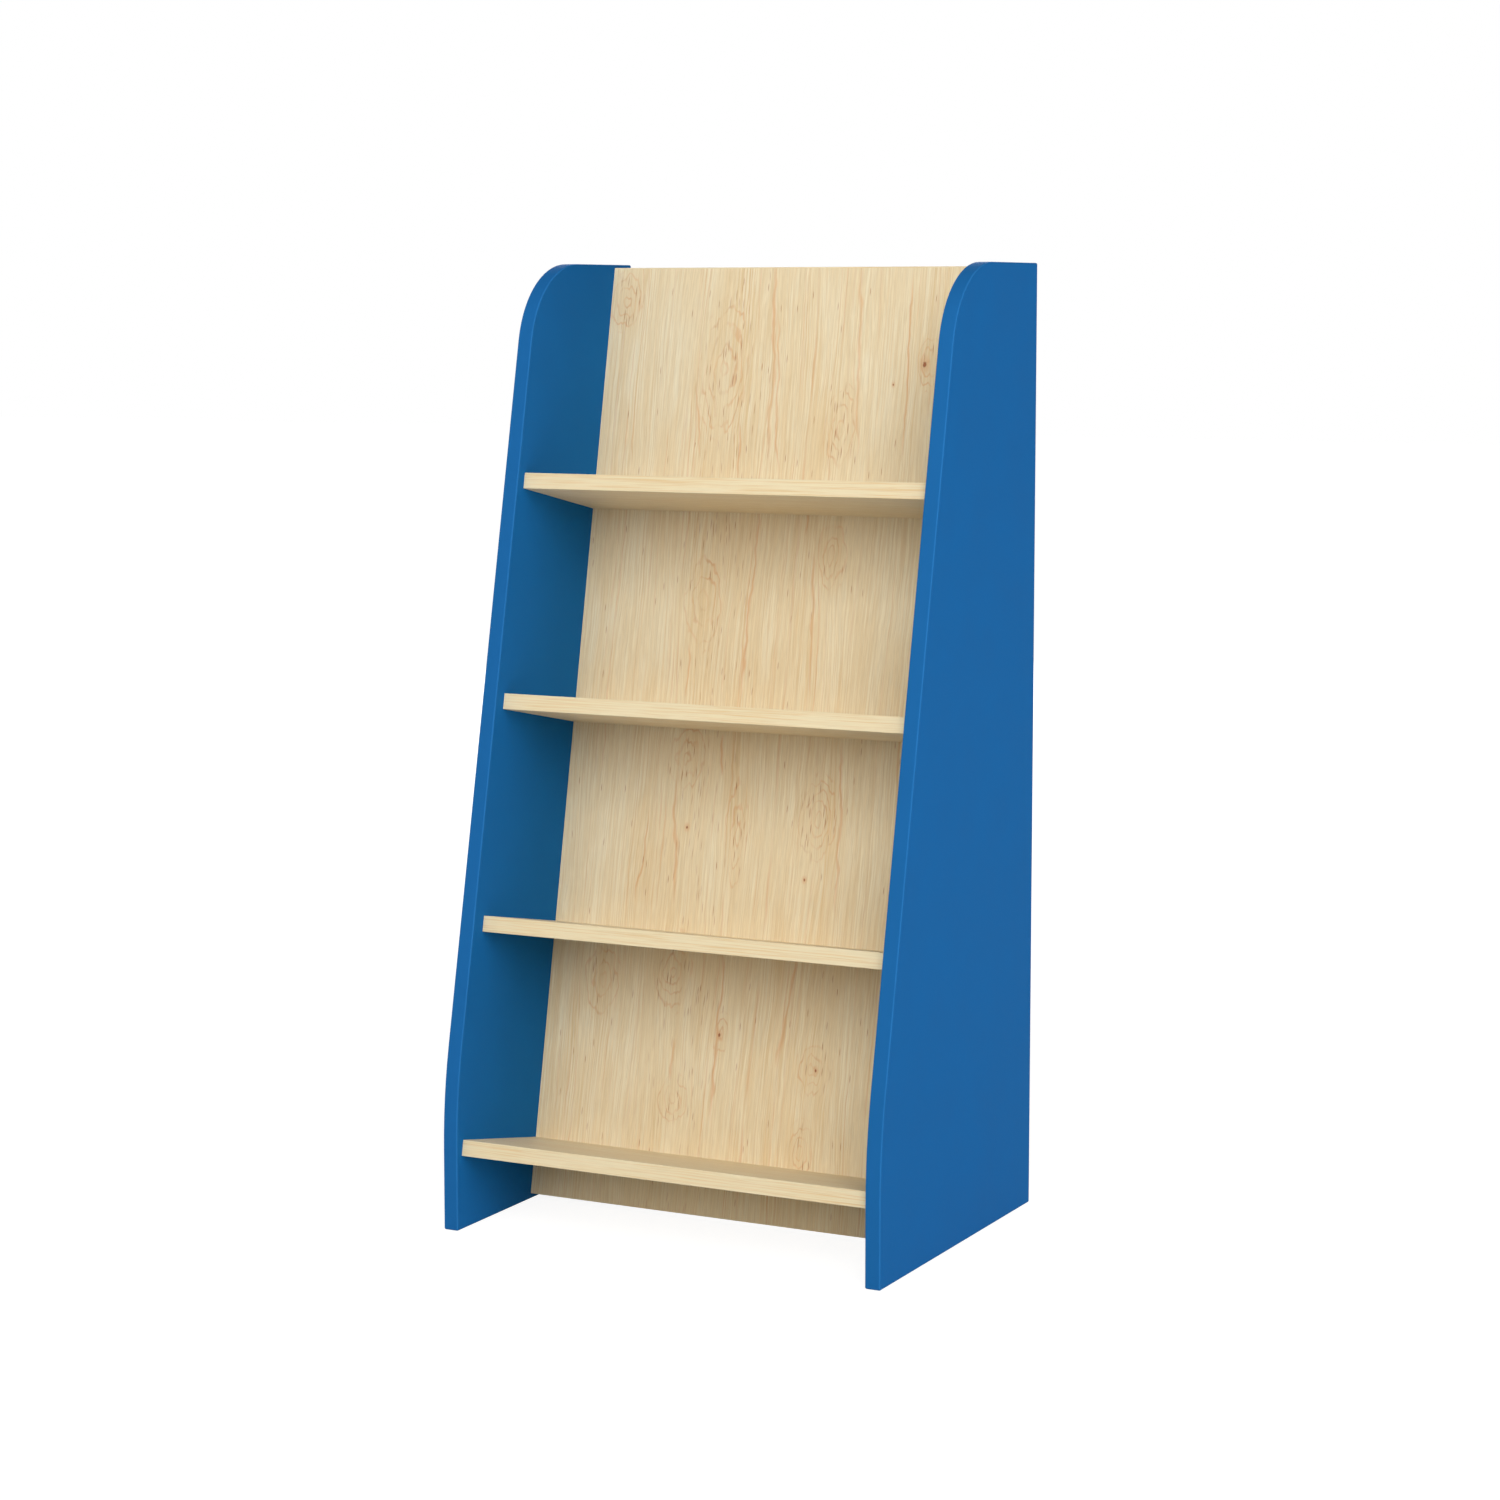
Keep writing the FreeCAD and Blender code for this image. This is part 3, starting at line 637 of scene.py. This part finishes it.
def maple_wood(sheet, place, maple, strength, hearts=(), veins=()):
    """Growth rings and fibres: colour, height of the fibres, vector of the grain and mask of hearts."""
    least_lively, most_lively = 0.35 * strength, 1.15 * strength
    lively_by_heart, line_by_heart = 0.4, 0.3
    contour_fades, line_clouds = (0.05, 0.75), (0.5, 0.85)
    stripe_tones, fibre_tones = (1.02, 0.965), (0.935, 1.045)
    grain = grain_wander(sheet, place)
    count, contour, by_heart = ring_count(sheet, grain, maple.ring_width, hearts)
    rings = growth_rings(sheet, grain, count=count)

    fine = streaks(sheet, grain, maple.fibre_width, FIBRE_STREAKS)
    narrow = streaks(sheet, grain, maple.ring_width * NARROW_RINGS, NARROW_STREAKS)
    broad = streaks(sheet, grain, maple.ring_width * BROAD_RINGS, BROAD_STREAKS)
    clouds = streaks(sheet, grain, CLOUD_WIDTH, CLOUDS)
    patches = streaks(sheet, grain, PATCH_WIDTH, LIVELY_PATCHES)
    lively = sheet.times(patches, sheet.spread(by_heart, 1.0, lively_by_heart))
    lively = sheet.spread(lively, least_lively, most_lively)
    dark_stripe = sheet.times(sheet.minus(1.0, rings["Stripe"]), lively)

    tanned = sheet.weighed((broad, TAN["broad"]), (clouds, TAN["clouds"]), (by_heart, TAN["hearts"]))
    tanned = sheet.plus(sheet.times(tanned, strength), sheet.times(dark_stripe, TAN["stripes"]))
    tanned = sheet.plus(tanned, sheet.spread(fine, TAN["fibres"], 0.0))
    wood = sheet.blend(tanned, maple.pale, maple.tan)
    wood = sheet.blend(sheet.times(narrow, sheet.times(lively, SHADES["straw"])), wood, maple.straw)

    line = sheet.times(rings["Line"], sheet.spread(by_heart, 1.0, line_by_heart))
    round_heart = sheet.times(contour, sheet.spread(rings["Fade"], *contour_fades))
    line = add_veins(sheet, place, sheet.math("MAXIMUM", line, round_heart), veins)
    lined = sheet.times(line, sheet.spread(clouds, *line_clouds), strength)
    wood = sheet.blend(lined, wood, maple.line)
    cored = sheet.times(rings["Breaks"], sheet.times(contour, SHADES["core"] * strength))
    wood = sheet.blend(cored, wood, maple.fleck)
    wood = sheet.scale(wood, sheet.spread(dark_stripe, *stripe_tones))
    wood = sheet.scale(wood, sheet.spread(fine, *fibre_tones))
    return wood, fine, grain, by_heart


def finish_maple(sheet, wood, height):
    """A clear satin coat over the wood."""
    between_fibres, on_fibres = 0.55, 0.42
    roughness = sheet.spread(height, between_fibres, on_fibres)
    return sheet.finish(wood, roughness, height, relief=0.04 * MILLIMETRE)


def add_flecks(sheet, wood, grain, by_heart, maple):
    """Flecks close together by the hearts and in one column, and a few far apart."""
    near = flecks(sheet, grain, width=0.0007, length=0.0115, share=0.26)
    far = flecks(sheet, grain, width=0.0006, length=0.008, share=0.025)
    column, full_to, gone_at = FLECK_COLUMN
    column_share = 0.55
    beside = sheet.distance(sheet.separate(grain)["X"], column)
    by_column = sheet.spread(sheet.step(beside, full_to, gone_at), column_share, 0.0)
    near = sheet.times(near, sheet.math("MAXIMUM", by_heart, by_column))
    marks = sheet.times(sheet.math("MAXIMUM", near, far), SHADES["fleck"])
    return sheet.blend(marks, wood, maple.fleck)


def maple_panel_material(maple):
    """Maple face with upright figured grain, flecks by the hearts and a few pin knots."""
    blot = 0.004
    sheet = FinishSheet("maple_panel", SPECULAR["maple"])
    place = panel_place(sheet)
    wood, height, grain, by_heart = maple_wood(sheet, place, maple, 1.0, PANEL_HEARTS, PANEL_VEINS)
    wood = add_flecks(sheet, wood, grain, by_heart, maple)
    jag = sheet.unevenness(place, blot, blot)
    for row in PANEL_KNOTS:
        knot = pin_knot(sheet, place, jag=jag, **row)
        wood = sheet.blend(sheet.times(knot["Stain"], SHADES["knot_stain"]), wood, maple.line)
        wood = sheet.blend(sheet.times(knot["Heart"], SHADES["knot_heart"]), wood, maple.knot)
    return finish_maple(sheet, wood, height)


def maple_shelf_material(maple):
    """Maple face with quiet grain from side to side."""
    quiet = 0.6
    sheet = FinishSheet("maple_shelf", SPECULAR["maple"])
    wood, height, _, _ = maple_wood(sheet, along_shelf(sheet, panel_place(sheet)), maple, quiet)
    return finish_maple(sheet, wood, height)


def maple_strip_material(maple):
    """Pale edging with fine straight grain along the strip, and a painted highlight in the straw colour
    on its arrises.
    """
    fibre_tones = (0.9, 1.1)
    sheet = FinishSheet("maple_strip", SPECULAR["maple"])
    place = along_shelf(sheet, panel_place(sheet))
    fine = fibres(sheet, place, width=maple.fibre_width, length=0.05)
    broad = streaks(sheet, place, STRIP_STREAK_WIDTH, STRIP_STREAKS)
    lines = streaks(sheet, place, STRIP_LINE_WIDTH, STRIP_LINES)
    wood = sheet.blend(sheet.times(broad, STRIP_SHADES["streaks"]), maple.strip, maple.tan)
    wood = sheet.blend(sheet.times(lines, STRIP_SHADES["lines"]), wood, maple.tan)
    wood = sheet.scale(wood, sheet.spread(fine, *fibre_tones))
    # Painted highlight: the rounded arrises are blended towards straw
    arris = rubbed_arris(sheet, place, axis=UP_PANEL, patch=0.03)
    wood = sheet.blend(sheet.times(arris, STRIP_SHADES["arris"]), wood, maple.straw)
    return finish_maple(sheet, wood, fine)


def dowel_material(fastenings):
    """Plain beech with its grain along the dowel."""
    fibre_tones, ray_tones = (0.82, 1.12), (1.0, 0.8)
    between_fibres, on_fibres = 0.8, 0.65
    sheet = FinishSheet("dowel_beech", SPECULAR["beech"])
    place = along_shelf(sheet, object_place(sheet))
    fine = fibres(sheet, place, width=0.0005, length=0.008)
    rays = flecks(sheet, place, width=0.0003, length=0.002, share=0.5)
    wood = sheet.scale(tuple(fastenings.dowel), sheet.spread(fine, *fibre_tones))
    wood = sheet.scale(wood, sheet.spread(rays, *ray_tones))
    roughness = sheet.spread(fine, between_fibres, on_fibres)
    return sheet.finish(wood, roughness, fine, relief=0.05 * MILLIMETRE)


def pebbled_material(name, colour, roughness, metallic, size):
    """A moulded or plated surface with fine pebbling and uneven gloss."""
    tones = (0.88, 1.08)
    sheet = FinishSheet(name, SPECULAR["fastening"])
    pebbles = pebbling(sheet, object_place(sheet), size=size, roughness=roughness)
    tone = sheet.scale(tuple(colour), sheet.spread(pebbles["Broad"], *tones))
    gloss, height = pebbles["Roughness"], pebbles["Height"]
    return sheet.finish(tone, gloss, height, FASTENING_RELIEF, metallic)


def dress(material, *names):
    for name in names:
        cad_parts[name].material_slots[0].material = material


# The upright part of a face's normal: at least this where it lies flat, at most that on a bar's side
FLAT, SIDEWAYS = 0.999, 0.1
SMOOTH_BELOW = math.radians(35)


def faces_up(face):
    return face.normal.z > FLAT


def faces_down(face):
    return face.normal.z < -FLAT


def deselect():
    bpy.ops.object.select_all(action="DESELECT")


def start_edit(kind, action):
    bpy.ops.object.mode_set(mode="EDIT")
    bpy.ops.mesh.select_mode(type=kind)
    bpy.ops.mesh.select_all(action=action)


def edit_faces(piece, wanted):
    """Opens a piece in edit mode with only the faces selected that pass a test."""
    bpy.context.view_layer.objects.active = piece
    start_edit("FACE", "DESELECT")
    shape = bmesh.from_edit_mesh(piece.data)
    for face in shape.faces:
        face.select_set(wanted(face))
    bmesh.update_edit_mesh(piece.data)


def finish_edit():
    bpy.ops.object.mode_set(mode="OBJECT")


def add_round(radius, length, sides, low=0.0, tip_radius=None):
    """A round bar that stands on Z, from low upwards, tapered where it has a tip radius."""
    deselect()
    place = (0, 0, low + length / 2)
    if tip_radius is None:
        bpy.ops.mesh.primitive_cylinder_add(vertices=sides, radius=radius, depth=length, location=place)
    else:
        bpy.ops.mesh.primitive_cone_add(
            vertices=sides, radius1=radius, radius2=tip_radius, depth=length, location=place
        )
    bpy.ops.object.transform_apply(location=True, rotation=True, scale=True)
    return bpy.context.object


def solid_middles(node, reach):
    """The middle of each solid in a node whose solids lie more than reach apart."""
    solids = []
    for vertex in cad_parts[node].data.vertices:
        for points in solids:
            if (vertex.co - points[0]).length < reach:
                points.append(vertex.co)
                break
        else:
            solids.append([vertex.co])
    middles = []
    for points in solids:
        middle = Vector()
        for axis in (ACROSS, UP_PANEL, OUT_OF_REAR):
            span = [point.dot(axis) for point in points]
            middle += axis * (min(span) + max(span)) / 2
        middles.append(middle)
    return middles


def solid_size(node, reach, length_axis):
    """The length along an axis of the first solid in a node, and its radius."""
    points = [vertex.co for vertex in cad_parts[node].data.vertices]
    solid = [point for point in points if (point - points[0]).length < reach]
    spans = [[point.dot(axis) for point in solid] for axis in (length_axis, UP_PANEL)]
    length, width = (max(span) - min(span) for span in spans)
    return length, width / 2


def join_pieces(pieces):
    deselect()
    for piece in pieces:
        piece.select_set(True)
    bpy.context.view_layer.objects.active = pieces[0]
    bpy.ops.object.join()
    return bpy.context.object


def set_out(master, name, node, slot, turn, reach, material):
    """Copies the master to every solid of a CAD node and joins the copies to replace the node."""
    copies = []
    for middle in solid_middles(node, reach):
        copy = master.copy()
        copy.data = master.data.copy()
        bpy.context.collection.objects.link(copy)
        copy.location = middle
        copy.rotation_euler = turn
        copies.append(copy)
    bpy.data.objects.remove(master)
    piece = join_pieces(copies)
    bpy.ops.object.transform_apply(location=True, rotation=True, scale=True)
    bpy.ops.object.shade_smooth_by_angle(angle=SMOOTH_BELOW)
    piece.name = name
    piece.data.materials.clear()
    piece.data.materials.append(material)
    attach(piece, BODY)
    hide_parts(node)


class BookcaseStep:
    """What all the steps share."""

    bl_options = {"REGISTER", "UNDO"}


class BOOKCASE_OT_sides(BookcaseStep, bpy.types.Operator):
    """Finish the side boards and their edging in blue"""

    bl_idname = "bookcase.sides"
    bl_label = "Sides"

    def execute(self, context):
        blue = context.scene.bookcase_blue
        face = blue_material("blue_face", blue.face, blue)
        strip = blue_material("blue_strip", blue.strip, blue)
        for side in SIDES:
            dress(face, f"{side}_side_board")
            dress(strip, *(f"{side}_side_{edge}_edging" for edge in ("front", "rear", "base")))
        return {"FINISHED"}


class BOOKCASE_OT_shelves(BookcaseStep, bpy.types.Operator):
    """Finish the shelves and their edging in maple"""

    bl_idname = "bookcase.shelves"
    bl_label = "Shelves"

    def execute(self, context):
        maple = context.scene.bookcase_maple
        dress(maple_shelf_material(maple), *SHELVES)
        dress(maple_strip_material(maple), *(name.replace("_board", "_edging") for name in SHELVES))
        return {"FINISHED"}


class BOOKCASE_OT_back_panel(BookcaseStep, bpy.types.Operator):
    """Finish the back panel and its edging in maple"""

    bl_idname = "bookcase.back_panel"
    bl_label = "Back Panel"

    def execute(self, context):
        maple = context.scene.bookcase_maple
        dress(maple_panel_material(maple), "back_panel_board")
        strip = bpy.data.materials.get("maple_strip") or maple_strip_material(maple)
        dress(strip, "back_panel_top_edging", "back_panel_base_edging")
        return {"FINISHED"}


class BOOKCASE_OT_dowels(BookcaseStep, bpy.types.Operator):
    """Model the fluted dowels in the ends of the shelves and the edges of the back panel"""

    bl_idname = "bookcase.dowels"
    bl_label = "Dowels"
    SIDES_ROUND = 36
    APART = 0.06
    # What the radius is divided by for the chamfer and for the lip of a flute
    CHAMFER_PART, LIP_PART = 5, 60

    def execute(self, context):
        fastenings = context.scene.bookcase_fastenings
        beech = dowel_material(fastenings)
        nodes = {"shelf_dowels_fluted": "shelf_dowels", "panel_dowels_fluted": "back_panel_dowels"}
        for name, node in nodes.items():
            master = self.make_dowel(node, fastenings.flute_depth)
            set_out(master, name, node, "dowel_wood", TO_ACROSS, self.APART, beech)
        return {"FINISHED"}

    def make_dowel(self, node, flute_depth):
        """A round bar with chamfered ends and a flute on every other side."""
        length, radius = solid_size(node, self.APART, ACROSS)
        dowel = add_round(radius, length, self.SIDES_ROUND, low=-length / 2)
        edit_faces(dowel, lambda face: faces_up(face) or faces_down(face))
        bpy.ops.mesh.bevel(offset=radius / self.CHAMFER_PART, segments=1)
        groove = math.tau / (self.SIDES_ROUND / 2)

        def in_groove(face):
            turn = math.atan2(face.normal.y, face.normal.x) % groove
            return abs(face.normal.z) < SIDEWAYS and turn < groove / 2

        edit_faces(dowel, in_groove)
        bpy.ops.mesh.inset(thickness=radius / self.LIP_PART, depth=-flute_depth, use_individual=True)
        finish_edit()
        return dowel


class BOOKCASE_OT_screws(BookcaseStep, bpy.types.Operator):
    """Model the screws with their sockets and threads"""

    bl_idname = "bookcase.screws"
    bl_label = "Screws"
    SIDES_ROUND = 32
    APART = 0.1
    LENGTH_SHARES = {"head": 0.07, "plain": 0.2, "tip": 0.08}
    NECK_SHARE = 0.6
    SUNK_SHARE = 0.95
    POINT_PART = 20
    RIM_PART = 8
    SOCKET_SIDES = 6
    SOCKET_SHARES = {"radius": 0.46, "depth": 0.7}

    def execute(self, context):
        fastenings = context.scene.bookcase_fastenings
        length, head_radius = solid_size("shelf_screws", self.APART, OUT_OF_REAR)
        radius = head_radius * self.NECK_SHARE
        root = radius - fastenings.thread_depth
        top = length / 2
        lengths = {part: length * share for part, share in self.LENGTH_SHARES.items()}
        thread_top = top - lengths["head"] - lengths["plain"]
        tip_top = -top + lengths["tip"]
        head = self.make_head(head_radius, lengths["head"], top)
        plain = add_round(radius, lengths["plain"], self.SIDES_ROUND, low=thread_top)
        thread = self.make_thread(radius, root, fastenings.thread_pitch, tip_top, thread_top)
        core = add_round(root, thread_top - tip_top, self.SIDES_ROUND, low=tip_top)
        point = radius / self.POINT_PART
        tip = add_round(point, tip_top + top, self.SIDES_ROUND, low=-top, tip_radius=root)
        screw = join_pieces([head, plain, thread, core, tip])
        zinc = pebbled_material("zinc_plate", fastenings.zinc, roughness=0.32, metallic=1, size=0.0005)
        name, node = "shelf_screws_threaded", "shelf_screws"
        set_out(screw, name, node, "screw_steel", TO_REAR, self.APART, zinc)
        return {"FINISHED"}

    def make_head(self, radius, height, top):
        """A flat head with a softened rim and a six-sided socket."""
        head = add_round(radius, height, self.SIDES_ROUND, low=top - height)
        edit_faces(head, faces_up)
        bpy.ops.mesh.bevel(offset=height / self.RIM_PART, segments=2)
        finish_edit()
        socket_radius = radius * self.SOCKET_SHARES["radius"]
        depth = height * self.SOCKET_SHARES["depth"]
        cutter = add_round(socket_radius, depth * 2, self.SOCKET_SIDES, low=top - depth)
        cut = head.modifiers.new("socket", "BOOLEAN")
        cut.operation = "DIFFERENCE"
        cut.object = cutter
        bpy.context.view_layer.objects.active = head
        bpy.ops.object.modifier_apply(modifier=cut.name)
        bpy.data.objects.remove(cutter)
        return head

    def make_thread(self, radius, root, pitch, low, high):
        """One turn's tooth, drawn as three points and wound up the screw, its foot sunk in the core."""
        turns = int((high - low) / pitch)
        pitch = (high - low) / turns
        foot = root * self.SUNK_SHARE
        deselect()
        bpy.ops.mesh.primitive_plane_add(size=MILLIMETRE)
        thread = bpy.context.object
        start_edit("VERT", "SELECT")
        bpy.ops.mesh.merge(type="CENTER")
        bpy.ops.transform.translate(value=(foot, 0, low))
        for outward in (1, -1):
            step = (outward * (radius - foot), 0, pitch / 2)
            bpy.ops.mesh.extrude_vertices_move(TRANSFORM_OT_translate={"value": step})
        finish_edit()
        wind = thread.modifiers.new("wind", "SCREW")
        wind.screw_offset = pitch
        wind.iterations = turns
        wind.steps = wind.render_steps = self.SIDES_ROUND
        wind.use_merge_vertices = True
        wind.use_normal_calculate = True
        bpy.ops.object.modifier_apply(modifier=wind.name)
        start_edit("VERT", "SELECT")
        bpy.ops.mesh.remove_doubles(threshold=MILLIMETRE / 1000)
        bpy.ops.mesh.fill_holes(sides=0)
        bpy.ops.mesh.select_all(action="SELECT")
        bpy.ops.mesh.normals_make_consistent(inside=False)
        finish_edit()
        return thread


class BOOKCASE_OT_caps(BookcaseStep, bpy.types.Operator):
    """Model the domed caps over the screw heads, with their stubs"""

    bl_idname = "bookcase.caps"
    bl_label = "Caps"
    SIDES_ROUND = 48
    APART = 0.1
    STUB_SHARES = {"radius": 0.257, "length": 0.579}
    # What the radius is divided by for the widths, and the dome's rise for the depth of the ring
    WIDTH_PARTS = {"flat": 12, "ring": 30, "dome": 9, "stub": 20}
    RING_PART = 3
    DOME_STEPS = 6

    def execute(self, context):
        fastenings = context.scene.bookcase_fastenings
        length, radius = solid_size("screw_caps", self.APART, OUT_OF_REAR)
        cap = self.make_cap(radius, length, fastenings.cap_dome)
        colour = fastenings.cap
        moulded = pebbled_material("cap_plastic", colour, roughness=0.42, metallic=0, size=0.0004)
        set_out(cap, "screw_caps_domed", "screw_caps", "cap_plastic", TO_REAR, self.APART, moulded)
        return {"FINISHED"}

    def make_cap(self, radius, length, dome):
        """A disc with a rounded rim, a shallow ring, a dome and a stub beneath."""
        widths = {place: radius / part for place, part in self.WIDTH_PARTS.items()}
        stub_length = length * self.STUB_SHARES["length"]
        rim = length - stub_length - dome
        cap = add_round(radius, rim, self.SIDES_ROUND, low=stub_length - length / 2)
        edit_faces(cap, faces_up)
        bpy.ops.mesh.bevel(offset=rim / 2, segments=3)
        edit_faces(cap, faces_up)
        bpy.ops.mesh.inset(thickness=widths["flat"])
        ring_depth = dome / self.RING_PART
        bpy.ops.mesh.inset(thickness=widths["ring"], depth=-ring_depth)
        for number in range(self.DOME_STEPS):
            flatter = 2 - 2 * (number + 0.5) / self.DOME_STEPS
            rise = (dome + ring_depth) / self.DOME_STEPS * flatter
            bpy.ops.mesh.inset(thickness=widths["dome"], depth=rise)
        edit_faces(cap, faces_down)
        bpy.ops.mesh.inset(thickness=radius * (1 - self.STUB_SHARES["radius"]))
        bpy.ops.mesh.extrude_region_move(TRANSFORM_OT_translate={"value": (0, 0, -stub_length)})
        bpy.ops.mesh.bevel(offset=widths["stub"], segments=2)
        finish_edit()
        return cap


# Lamps: degrees round from the front, degrees up, distance from the bookcase and width
LAMPS = {
    "key": (30, 28, 9.0, 5.5),
    "front": (0, 28, 9.0, 5.5),
    "side": (84, -4, 4.0, 1.2),
    "high": (52, 54, 9.0, 5.5),
    "rear": (212, 14, 8.0, 5.0),
    "left": (265, 8, 7.0, 4.0),
}
WHITE = (1, 1, 1, 1)


def add_lamp(name, place, target, size, power):
    """A soft square lamp that points at a target."""
    deselect()
    turn = (target - place).to_track_quat("-Z", "Y").to_euler()
    bpy.ops.object.light_add(type="AREA", location=place, rotation=turn)
    lamp = bpy.context.object
    lamp.name = name
    lamp.data.shape = "SQUARE"
    lamp.data.size = size
    lamp.data.energy = power


def lamp_place(target, turn, rise, distance):
    """A place seen from the target at a turn to the right of the front and a rise above level."""
    turn, rise = math.radians(turn), math.radians(rise)
    level = math.cos(rise) * distance
    return target + Vector((math.sin(turn) * level, -math.cos(turn) * level, math.sin(rise) * distance))


def white_for_camera(sheet, shown, lit):
    """Gives the camera and mirror-like rays one shader and all other rays another."""
    path = sheet.add("ShaderNodeLightPath").outputs
    sharp = sheet.math("MAXIMUM", path["Is Glossy Ray"], path["Is Transmission Ray"])
    seen = sheet.math("MAXIMUM", path["Is Camera Ray"], sharp)
    return sheet.add("ShaderNodeMixShader", {0: seen, 1: lit, 2: shown}).outputs[0]


class BOOKCASE_OT_stage(BookcaseStep, bpy.types.Operator):
    """Set the floor, the lamps, the white surround and the camera"""

    bl_idname = "bookcase.stage"
    bl_label = "Stage"
    FLOOR_WIDTH = 60
    # The floor glows a little less than white near the bookcase, and white far from it
    GLOW_NEAR, GLOW_FAR = 0.9, 1.0
    NEAR_TO, FAR_FROM = 1.5, 3.5
    SHADOW_GREY = (0.2, 0.2, 0.2, 1)

    def execute(self, context):
        stage = context.scene.bookcase_stage
        self.add_floor(stage)
        self.set_world(context.scene, stage)
        middle = (START_BOX[0] + START_BOX[1]) / 2
        for name, (turn, rise, distance, size) in LAMPS.items():
            place = lamp_place(middle, turn, rise, distance)
            add_lamp(f"{name}_lamp", place, middle, size, getattr(stage, name))
        self.add_camera(context.scene, stage)
        context.scene.view_settings.view_transform = "Standard"
        return {"FINISHED"}

    def add_floor(self, stage):
        """A wide floor, white to the camera but for the faint shadow round the bookcase."""
        deselect()
        bpy.ops.mesh.primitive_plane_add(size=self.FLOOR_WIDTH)
        floor = bpy.context.object
        floor.name = "floor"
        material = bpy.data.materials.new("floor")
        material.use_nodes = True
        sheet = NodeSheet(material.node_tree)
        far = sheet.step(sheet.vector("LENGTH", object_place(sheet)), self.NEAR_TO, self.FAR_FROM)
        strength = sheet.spread(far, self.GLOW_NEAR, self.GLOW_FAR)
        matt = sheet.add("ShaderNodeBsdfDiffuse", {"Color": (*stage.floor, 1)}).outputs[0]
        glow = sheet.add("ShaderNodeEmission", {"Strength": strength}).outputs[0]
        faint = sheet.add("ShaderNodeBsdfDiffuse", {"Color": self.SHADOW_GREY}).outputs[0]
        shown = sheet.add("ShaderNodeAddShader", {0: glow, 1: faint}).outputs[0]
        sheet.add("ShaderNodeOutputMaterial", {"Surface": white_for_camera(sheet, shown, matt)})
        floor.data.materials.append(material)
        floor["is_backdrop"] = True

    def set_world(self, scene, stage):
        """Even light all round that looks white to the camera."""
        world = bpy.data.worlds.new("surround")
        scene.world = world
        world.use_nodes = True
        sheet = NodeSheet(world.node_tree)
        white = sheet.add("ShaderNodeBackground", {"Color": WHITE, "Strength": 1.0}).outputs[0]
        sky = sheet.add("ShaderNodeBackground", {"Color": WHITE, "Strength": stage.sky}).outputs[0]
        sheet.add("ShaderNodeOutputWorld", {"Surface": white_for_camera(sheet, white, sky)})

    def add_camera(self, scene, stage):
        deselect()
        turn = Euler((math.pi / 2 - stage.camera_tilt, 0, stage.camera_turn))
        bpy.ops.object.camera_add(location=stage.camera_place, rotation=turn)
        camera = bpy.context.object
        camera.name = "camera"
        camera.data.lens = stage.focal_length
        camera.data.shift_y = stage.camera_drop
        scene.camera = camera


STEPS = (
    BOOKCASE_OT_sides,
    BOOKCASE_OT_shelves,
    BOOKCASE_OT_back_panel,
    BOOKCASE_OT_dowels,
    BOOKCASE_OT_screws,
    BOOKCASE_OT_caps,
    BOOKCASE_OT_stage,
)


class BOOKCASE_PT_panel(bpy.types.Panel):
    """The steps that finish the bookcase, and its colours and sizes"""

    bl_idname = "BOOKCASE_PT_panel"
    bl_label = "Angled Bookcase"
    bl_space_type = "VIEW_3D"
    bl_region_type = "UI"
    bl_category = "Bookcase"

    def draw(self, context):
        for step in STEPS:
            self.layout.operator(step.bl_idname)
        for name in SETTINGS:
            settings = getattr(context.scene, name)
            box = self.layout.box()
            for prop in settings.bl_rna.properties:
                if prop.identifier not in ("rna_type", "name"):
                    box.prop(settings, prop.identifier)


SETTINGS = {
    "bookcase_blue": BookcaseBlue,
    "bookcase_maple": BookcaseMaple,
    "bookcase_fastenings": BookcaseFastenings,
    "bookcase_stage": BookcaseStage,
}
CLASSES = (*SETTINGS.values(), *STEPS, BOOKCASE_PT_panel)


def register():
    for cls in CLASSES:
        bpy.utils.register_class(cls)
    for name, group in SETTINGS.items():
        setattr(bpy.types.Scene, name, PointerProperty(type=group))


def unregister():
    for name in SETTINGS:
        delattr(bpy.types.Scene, name)
    for cls in reversed(CLASSES):
        bpy.utils.unregister_class(cls)


def write_sizes():
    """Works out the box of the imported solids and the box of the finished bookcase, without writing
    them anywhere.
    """
    boxes = {"cad": START_BOX, "visual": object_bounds()}


def main():
    register()
    bpy.ops.bookcase.sides()
    bpy.ops.bookcase.shelves()
    bpy.ops.bookcase.back_panel()
    bpy.ops.bookcase.dowels()
    bpy.ops.bookcase.screws()
    bpy.ops.bookcase.caps()
    bpy.ops.bookcase.stage()
    write_sizes()


if __name__ == "__main__":
    main()
